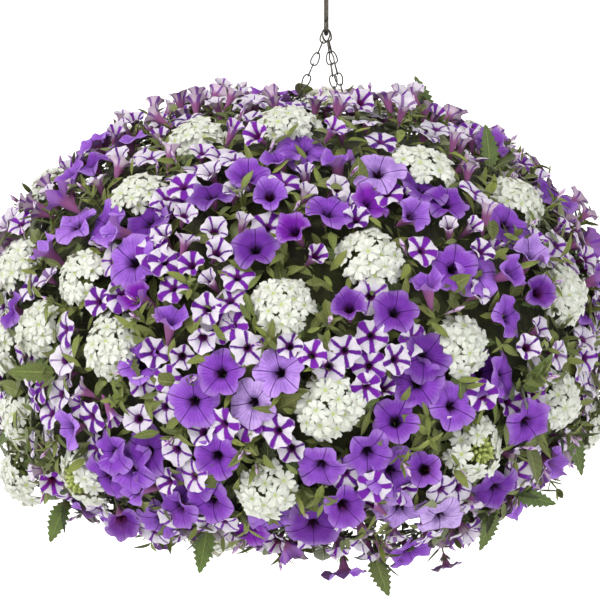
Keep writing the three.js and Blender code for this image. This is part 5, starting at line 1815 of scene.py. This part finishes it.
class BasketColours(bpy.types.PropertyGroup):
    """Colours of the flowers, the leaves and the pot"""
    striped_white: colour("Striped white", "White parts of the striped petunias", 240, 232, 240)
    # This colour serves the veins and clouding of the white parts, and their painted shade towards the
    # throat.
    striped_veins_and_shade: colour("Striped shadow", "Veins in the white parts", 198, 184, 210)
    striped_throat: colour("Striped throat", "Round the throats of the striped petunias", 104, 20, 120)
    ray_dark: colour("Ray, dark", "Darkest rays of the striped petunias", 62, 2, 112)
    ray_bright: colour("Ray, bright", "Brightest rays of the striped petunias", 122, 26, 172)
    ray_faded: colour("Ray, faded", "Rays of old flowers", 150, 118, 166)
    throat: colour("Throat", "Deep inside the petunias", 34, 4, 46)
    stigma: colour("Stigma", "Point inside the throats", 196, 184, 150)
    # This colour also paints the shade along the lobes' creases.
    violet_dark: colour("Violet, dark", "Veins and darkest violet petunias", 68, 8, 108)
    violet: colour("Violet", "Most violet petunias", 140, 62, 194)
    violet_bright: colour("Violet, bright", "Brighter violet petunias", 162, 92, 218)
    violet_light: colour("Violet, light", "Light lilac petunias", 192, 132, 242)
    violet_pale: colour("Violet, pale", "Faded petunias and rims", 220, 186, 248)
    violet_shadow: colour("Violet shadow", "Clouding of the violet petals", 104, 32, 156)
    magenta: colour("Magenta", "Magenta violet petunias", 140, 0, 184)
    back_violet: colour("Back, violet", "Outside of the violet petals", 172, 118, 204)
    back_pale: colour("Back, pale", "Outside of the striped petals", 232, 208, 228)
    tube: colour("Tube", "Outside of the flower tubes", 152, 88, 140)
    tube_vein: colour("Tube veins", "Veins outside the tubes", 92, 34, 84)
    verbena_white: colour("Verbena white", "Verbena petals", 241, 241, 230)
    # This colour gives the florets a random grey tint, and paints shade at the petal bases and in the
    # creases between them.
    verbena_tint_and_shade: colour("Verbena shadow", "Bases of the verbena petals", 206, 208, 186)
    verbena_eye: colour("Verbena eye", "Eyes of the florets", 200, 212, 120)
    leaf: colour("Leaf", "Light petunia leaves", 134, 150, 56)
    leaf_dark: colour("Leaf, dark", "Dark leaves", 46, 58, 18)
    leaf_vein: colour("Leaf veins", "Midribs and side veins", 160, 174, 92)
    leaf_yellow: colour("Leaf, yellow", "Yellowing leaves", 184, 186, 84)
    verbena_leaf: colour("Verbena leaf", "Toothed leaves", 84, 118, 40)
    stem: colour("Stem", "Stems and stalks", 134, 148, 72)
    # These two are painted shade: the dark of the growth's shaded inside.
    gap: colour("Gap", "Darkest inside of the growth", 36, 31, 20)
    gap_green: colour("Gap, green", "Greener inside of the growth", 66, 72, 32)
    steel: colour("Steel", "Hook and chains", 112, 108, 98)
    steel_dark: colour("Steel, dark", "Dull parts of the hook and chains", 62, 58, 52)
    rust: colour("Rust", "Rust on the hook and chains", 104, 66, 40)
    plastic: colour("Pot", "The pot's plastic", 40, 50, 40)
    plastic_dust: colour("Pot dust", "Dust and water marks on the pot", 96, 98, 88)
    soil: colour("Soil", "Lighter compost", 74, 54, 40)
    soil_dark: colour("Soil, dark", "Darker compost", 34, 24, 18)
    grit: colour("Grit", "Pale grit in the compost", 180, 172, 160)
    paper: colour("Paper", "Floor and backdrop", 250, 250, 250)


class BasketStudio(bpy.types.PropertyGroup):
    """The floor and the lights"""
    floor_height: amount("Floor", "Height of the floor below the hook", -1.25, unit="LENGTH")
    air_light: amount("Air", "Light from all round", 0.3, min=0)
    paper_glow: amount("Paper glow", "Light that the paper gives to the basket", 0.2, min=0)
    paper_seen: amount("Paper seen", "Light that the paper shows to the camera", 0.8, min=0)
    key_light: amount("Key", "Main light, above and left", 66, min=0, unit="POWER")
    fill_light: amount("Fill", "Light from the front right", 14, min=0, unit="POWER")
    back_light: amount("Back", "Light from behind", 18, min=0, unit="POWER")


# Operators

class BASKET_OT_hook(bpy.types.Operator):
    """Bends the hook's rod"""
    bl_idname = "basket.hook"
    bl_label = "Hook"

    def execute(self, context):
        hook = rod("hook_rod", hook_path(), ROD_RADIUS, finishes()["steel"])
        as_piece(hook, ["hanger_hook"])
        return {"FINISHED"}


class BASKET_OT_chains(bpy.types.Operator):
    """Links the three chains between the hook and the pot"""
    bl_idname = "basket.chains"
    bl_label = "Chains"

    def execute(self, context):
        for k in range(len(STRAND_NAMES)):
            make_chain(k, finishes()["steel"])
        return {"FINISHED"}


class BASKET_OT_pot(bpy.types.Operator):
    """Turns the pot and fills it with soil"""
    bl_idname = "basket.pot"
    bl_label = "Pot and soil"

    def execute(self, context):
        make_pot(finishes()["plastic"])
        make_soil(finishes()["soil"])
        return {"FINISHED"}


class BASKET_OT_foliage(bpy.types.Operator):
    """Grows the leafy core, the leaves, the stalks and the buds"""
    bl_idname = "basket.foliage"
    bl_label = "Foliage"

    def execute(self, context):
        make_core(finishes()["core"])
        make_foliage(context.scene.basket_sizes, finishes())
        return {"FINISHED"}


class BASKET_OT_striped(bpy.types.Operator):
    """Sets the small striped petunias on the mound"""
    bl_idname = "basket.striped"
    bl_label = "Striped petunias"

    def execute(self, context):
        make_petunias("striped", striped_form, finishes())
        return {"FINISHED"}


class BASKET_OT_violet(bpy.types.Operator):
    """Sets the large violet petunias on the mound"""
    bl_idname = "basket.violet"
    bl_label = "Violet petunias"

    def execute(self, context):
        make_petunias("violet", violet_form, finishes())
        return {"FINISHED"}


class BASKET_OT_verbena(bpy.types.Operator):
    """Sets the white verbena heads on the mound"""
    bl_idname = "basket.verbena"
    bl_label = "Verbena heads"

    def execute(self, context):
        make_verbena(context.scene.basket_sizes, finishes())
        return {"FINISHED"}


class BASKET_OT_stage(bpy.types.Operator):
    """Lays the floor and backdrop, and sets the lights and the camera"""
    bl_idname = "basket.stage"
    bl_label = "Studio"

    def execute(self, context):
        make_stage(context.scene.basket_studio, finishes())
        return {"FINISHED"}


OPERATORS = (BASKET_OT_stage, BASKET_OT_hook, BASKET_OT_chains, BASKET_OT_pot, BASKET_OT_foliage,
             BASKET_OT_striped, BASKET_OT_violet, BASKET_OT_verbena)


class BASKET_PT_panel(bpy.types.Panel):
    """The basket's pieces, sizes and colours"""
    bl_idname = "BASKET_PT_panel"
    bl_label = "Petunia hanging basket"
    bl_space_type = "VIEW_3D"
    bl_region_type = "UI"
    bl_category = "Basket"

    def draw(self, context):
        for kind in OPERATORS:
            self.layout.operator(kind.bl_idname)
        scene = context.scene
        for group in (scene.basket_sizes, scene.basket_studio, scene.basket_colours):
            for label in group.__annotations__:
                self.layout.prop(group, label)


CLASSES = (BasketSizes, BasketColours, BasketStudio, *OPERATORS, BASKET_PT_panel)


def register():
    for kind in CLASSES:
        bpy.utils.register_class(kind)
    bpy.types.Scene.basket_sizes = PointerProperty(type=BasketSizes)
    bpy.types.Scene.basket_colours = PointerProperty(type=BasketColours)
    bpy.types.Scene.basket_studio = PointerProperty(type=BasketStudio)


def unregister():
    del bpy.types.Scene.basket_studio
    del bpy.types.Scene.basket_colours
    del bpy.types.Scene.basket_sizes
    for kind in reversed(CLASSES):
        bpy.utils.unregister_class(kind)


def main():
    register()
    for kind in OPERATORS:
        getattr(bpy.ops.basket, kind.bl_idname.split(".")[1])()
    boxes = {"cad": CAD_BOX, "visual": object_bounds()}
    {name: [list(corner) for corner in box] for name, box in boxes.items()}


if __name__ == "__main__":
    main()
